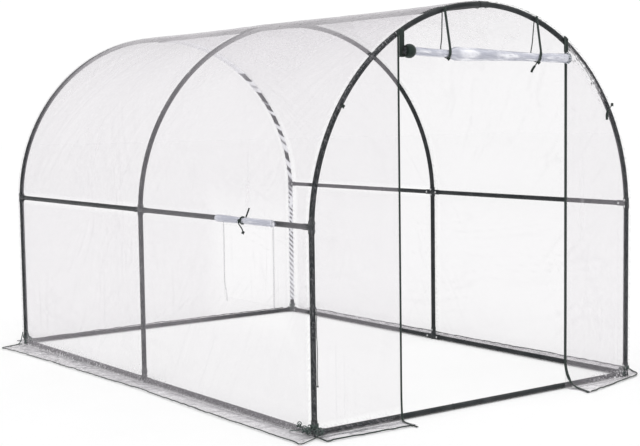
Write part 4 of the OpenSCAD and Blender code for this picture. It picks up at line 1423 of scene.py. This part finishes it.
def make_leg_wrap():
    """Film folded round the right half of the rear hoop, its folds painted whiter as highlights, dark where
    the tube shows between folds
    """
    leg = SPRING_Z - 0.085
    arch = ARCH_R * math.pi / 2
    along = np.linspace(0, leg + arch, 420)
    angle = np.maximum(along - leg, 0) / ARCH_R
    middle = np.stack([ARCH_R * np.cos(angle), np.full_like(along, HOOP_Y[2]),
                       np.minimum(along, leg) + 0.085 + ARCH_R * np.sin(angle)], 1)
    out = np.stack([np.cos(angle), angle * 0, np.sin(angle)], 1)
    turn = 2 * np.pi * np.arange(24) / 24
    aa, dd = np.meshgrid(turn, along)
    phase = -3 * aa - dd / 0.034 * 2 * np.pi + 2.2 * noise(dd * 6, dd * 0, 81)
    fold = np.clip(np.cos(phase) * 1.7 - 0.4, 0, 1)
    gap = fold * fade(noise(dd * 16, aa, 82), -0.7, 0.1) * (1 - 0.5 * fade(-dd, -0.5, -0.2))
    broken = fade(noise(dd * 26 + 0.6 * np.cos(aa + 0.8), dd * 0, 84), 0.0, 0.35)
    broken = broken * (1 - fade(dd, leg + arch * 0.50, leg + arch * 0.70))
    gap = gap + (broken - gap) * fade(dd, leg - 0.05, leg + 0.10)
    r = TUBE_R + 0.0022 + 0.0012 * (1 - fold) + 0.0006 * noise(dd * 90, aa * 2, 83)
    points = (middle[:, None, :] + (r * np.cos(aa))[..., None] * out[:, None, :]
              + (r * np.sin(aa))[..., None] * np.array([0, 1.0, 0]))
    rows, cols = dd.shape
    faces = [(i * cols + j, i * cols + (j + 1) % cols, (i + 1) * cols + (j + 1) % cols, (i + 1) * cols + j)
             for i in range(rows - 1) for j in range(cols)]
    uv = np.stack([aa * TUBE_R, dd], -1).reshape(-1, 2)
    return add_piece("rear_leg_wrap", points.reshape(-1, 3), faces, "rolled_film", "film", uv,
                     crease=(1 - gap).ravel(), clear=gap.ravel())


# ---- Frame finishes ----


def finish_frame():
    for name, piece in frame["nodes"].items():
        material = "fitting_paint" if name.endswith("fittings") else "tube_paint"
        for holder in piece.material_slots:
            holder.material = bpy.data.materials[material]
        if not piece.material_slots:
            piece.data.materials.append(bpy.data.materials[material])


# ---- Stage ----

CAMERA_PLACE = (-4.20, -5.91, 1.37)
CAMERA_LENS = 72.79
# Degrees: turned right from straight ahead, pointed down, and rolled about its own view
CAMERA_HEADING = 36.348
CAMERA_DOWN = 4.737
CAMERA_ROLL = -0.811
FLOOR_HALF = 60
FLOOR_DROP = 0.0005


def make_stage():
    """The camera, the floor, two broad sun lamps, a plain pale world and the view settings"""
    scene = bpy.context.scene
    data = bpy.data.cameras.new("camera")
    data.lens = CAMERA_LENS
    data.sensor_width = 36.0
    camera = bpy.data.objects.new("camera", data)
    camera.matrix_world = (Matrix.Translation(CAMERA_PLACE)
                           @ Matrix.Rotation(math.radians(-CAMERA_HEADING), 4, "Z")
                           @ Matrix.Rotation(math.radians(90 - CAMERA_DOWN), 4, "X")
                           @ Matrix.Rotation(math.radians(CAMERA_ROLL), 4, "Z"))
    scene.collection.objects.link(camera)
    scene.camera = camera
    mesh = bpy.data.meshes.new("floor")
    corners = [(x * FLOOR_HALF, y * FLOOR_HALF, -FLOOR_DROP)
               for x, y in ((-1, -1), (1, -1), (1, 1), (-1, 1))]
    mesh.from_pydata(corners, [], [(0, 1, 2, 3)])
    floor = bpy.data.objects.new("floor", mesh)
    material, w, shader = new_material("floor_pale")
    grain = w.node("ShaderNodeTexNoise", {"Vector": object_place(w), "Scale": 2.0, "Detail": 3.0})
    w.feed(shader.inputs["Base Color"], w.mix(grain.outputs[0], (0.93, 0.93, 0.93), (0.96, 0.96, 0.96)))
    set_sockets(shader, Roughness=0.9, Specular_IOR_Level=0.1)
    mesh.materials.append(material)
    scene.collection.objects.link(floor)
    for name, direction, strength, spread in (
            ("key_light", (0.45, 0.50, -1.0), 1.45, 0.9),
            ("fill_light", (-0.9, 0.4, -1.1), 0.6, 1.2)):
        lamp = bpy.data.lights.new(name, "SUN")
        lamp.energy = strength
        lamp.angle = spread
        light = bpy.data.objects.new(name, lamp)
        light.rotation_euler = Vector(direction).to_track_quat("-Z", "Y").to_euler()
        scene.collection.objects.link(light)
    world = bpy.data.worlds.new("studio")
    world.use_nodes = True
    w = Wiring(world.node_tree)
    background = world.node_tree.nodes["Background"]
    seen = w.node("ShaderNodeLightPath").outputs["Is Camera Ray"]
    w.feed(background.inputs["Strength"], w.span(seen, 0, 1, 0.56, 1.02))
    background.inputs["Color"].default_value = (1, 1, 1, 1)
    scene.world = world
    scene.view_settings.view_transform = "Standard"
    scene.view_settings.look = "None"
    scene.view_settings.exposure = 0
    scene.view_settings.gamma = 1


# ---- Operators ----


class POLYTUNNEL_OT_stage(bpy.types.Operator):
    """Sets the camera, the floor, the lights and the shared finishes"""

    bl_idname = "polytunnel.stage"
    bl_label = "Stage"
    bl_options = {"REGISTER", "UNDO"}

    def execute(self, context):
        make_stage()
        make_materials()
        return {"FINISHED"}


class POLYTUNNEL_OT_cords(bpy.types.Operator):
    """Makes the free ends of the ties and the loose leg string"""

    bl_idname = "polytunnel.cords"
    bl_label = "Free cords"
    bl_options = {"REGISTER", "UNDO"}

    def execute(self, context):
        make_cords()
        return {"FINISHED"}


class POLYTUNNEL_OT_cover(bpy.types.Operator):
    """Makes the long sheet over the hoops, with its skirts"""

    bl_idname = "polytunnel.cover"
    bl_label = "Cover film"
    bl_options = {"REGISTER", "UNDO"}

    def execute(self, context):
        make_cover()
        return {"FINISHED"}


class POLYTUNNEL_OT_ends(bpy.types.Operator):
    """Makes the front sheet with its doorway, and the rear sheet"""

    bl_idname = "polytunnel.ends"
    bl_label = "End films"
    bl_options = {"REGISTER", "UNDO"}

    def execute(self, context):
        make_ends()
        return {"FINISHED"}


class POLYTUNNEL_OT_rolls(bpy.types.Operator):
    """Makes the rolled-up door and the rolled-up window flap"""

    bl_idname = "polytunnel.rolls"
    bl_label = "Rolled door and flap"
    bl_options = {"REGISTER", "UNDO"}

    def execute(self, context):
        make_roll_tree()
        make_door_roll()
        make_window_flap()
        return {"FINISHED"}


class POLYTUNNEL_OT_ties(bpy.types.Operator):
    """Makes the ties that hold the rolls"""

    bl_idname = "polytunnel.ties"
    bl_label = "Ties"
    bl_options = {"REGISTER", "UNDO"}

    def execute(self, context):
        make_ties()
        return {"FINISHED"}


class POLYTUNNEL_OT_bindings(bpy.types.Operator):
    """Makes the bindings of the doorway and window, and the skirt hems"""

    bl_idname = "polytunnel.bindings"
    bl_label = "Bindings"
    bl_options = {"REGISTER", "UNDO"}

    def execute(self, context):
        make_bindings()
        make_hems()
        return {"FINISHED"}


class POLYTUNNEL_OT_stitches(bpy.types.Operator):
    """Sews stitches along the bindings"""

    bl_idname = "polytunnel.stitches"
    bl_label = "Stitches"
    bl_options = {"REGISTER", "UNDO"}

    def execute(self, context):
        make_stitch_tree()
        make_stitches()
        return {"FINISHED"}


class POLYTUNNEL_OT_bolts(bpy.types.Operator):
    """Puts bolt heads on the fittings"""

    bl_idname = "polytunnel.bolts"
    bl_label = "Bolts"
    bl_options = {"REGISTER", "UNDO"}

    def execute(self, context):
        make_bolt_tree()
        make_bolts()
        return {"FINISHED"}


class POLYTUNNEL_OT_tube_joints(bpy.types.Operator):
    """Makes the rings where the tubes join"""

    bl_idname = "polytunnel.tube_joints"
    bl_label = "Tube joints"
    bl_options = {"REGISTER", "UNDO"}

    def execute(self, context):
        make_joint_rings()
        return {"FINISHED"}


class POLYTUNNEL_OT_foot_strings(bpy.types.Operator):
    """Ties strings round the corner feet and the front hoop"""

    bl_idname = "polytunnel.foot_strings"
    bl_label = "Strings"
    bl_options = {"REGISTER", "UNDO"}

    def execute(self, context):
        make_foot_strings()
        return {"FINISHED"}


class POLYTUNNEL_OT_frame_finish(bpy.types.Operator):
    """Paints the tubes and fittings"""

    bl_idname = "polytunnel.frame_finish"
    bl_label = "Frame finish"
    bl_options = {"REGISTER", "UNDO"}

    def execute(self, context):
        finish_frame()
        return {"FINISHED"}


OPERATORS = [
    POLYTUNNEL_OT_stage,
    POLYTUNNEL_OT_cords,
    POLYTUNNEL_OT_cover,
    POLYTUNNEL_OT_ends,
    POLYTUNNEL_OT_rolls,
    POLYTUNNEL_OT_ties,
    POLYTUNNEL_OT_bindings,
    POLYTUNNEL_OT_stitches,
    POLYTUNNEL_OT_bolts,
    POLYTUNNEL_OT_tube_joints,
    POLYTUNNEL_OT_foot_strings,
    POLYTUNNEL_OT_frame_finish,
]


class POLYTUNNEL_PT_panel(bpy.types.Panel):
    """Lists the steps that build the polytunnel's looks"""

    bl_label = "Polytunnel"
    bl_idname = "POLYTUNNEL_PT_panel"
    bl_space_type = "VIEW_3D"
    bl_region_type = "UI"
    bl_category = "Polytunnel"

    def draw(self, context):
        held = context.scene.polytunnel
        for name in held.bl_rna.properties.keys():
            if name not in ("rna_type", "name"):
                self.layout.prop(held, name)
        for made in OPERATORS:
            self.layout.operator(made.bl_idname)


CLASSES = [PolytunnelSettings, *OPERATORS, POLYTUNNEL_PT_panel]


def register():
    for made in CLASSES:
        bpy.utils.register_class(made)
    bpy.types.Scene.polytunnel = PointerProperty(type=PolytunnelSettings)


def unregister():
    del bpy.types.Scene.polytunnel
    for made in reversed(CLASSES):
        bpy.utils.unregister_class(made)


def main():
    register()
    for made in OPERATORS:
        section, name = made.bl_idname.split(".")
        getattr(getattr(bpy.ops, section), name)()


if __name__ == "__main__":
    main()
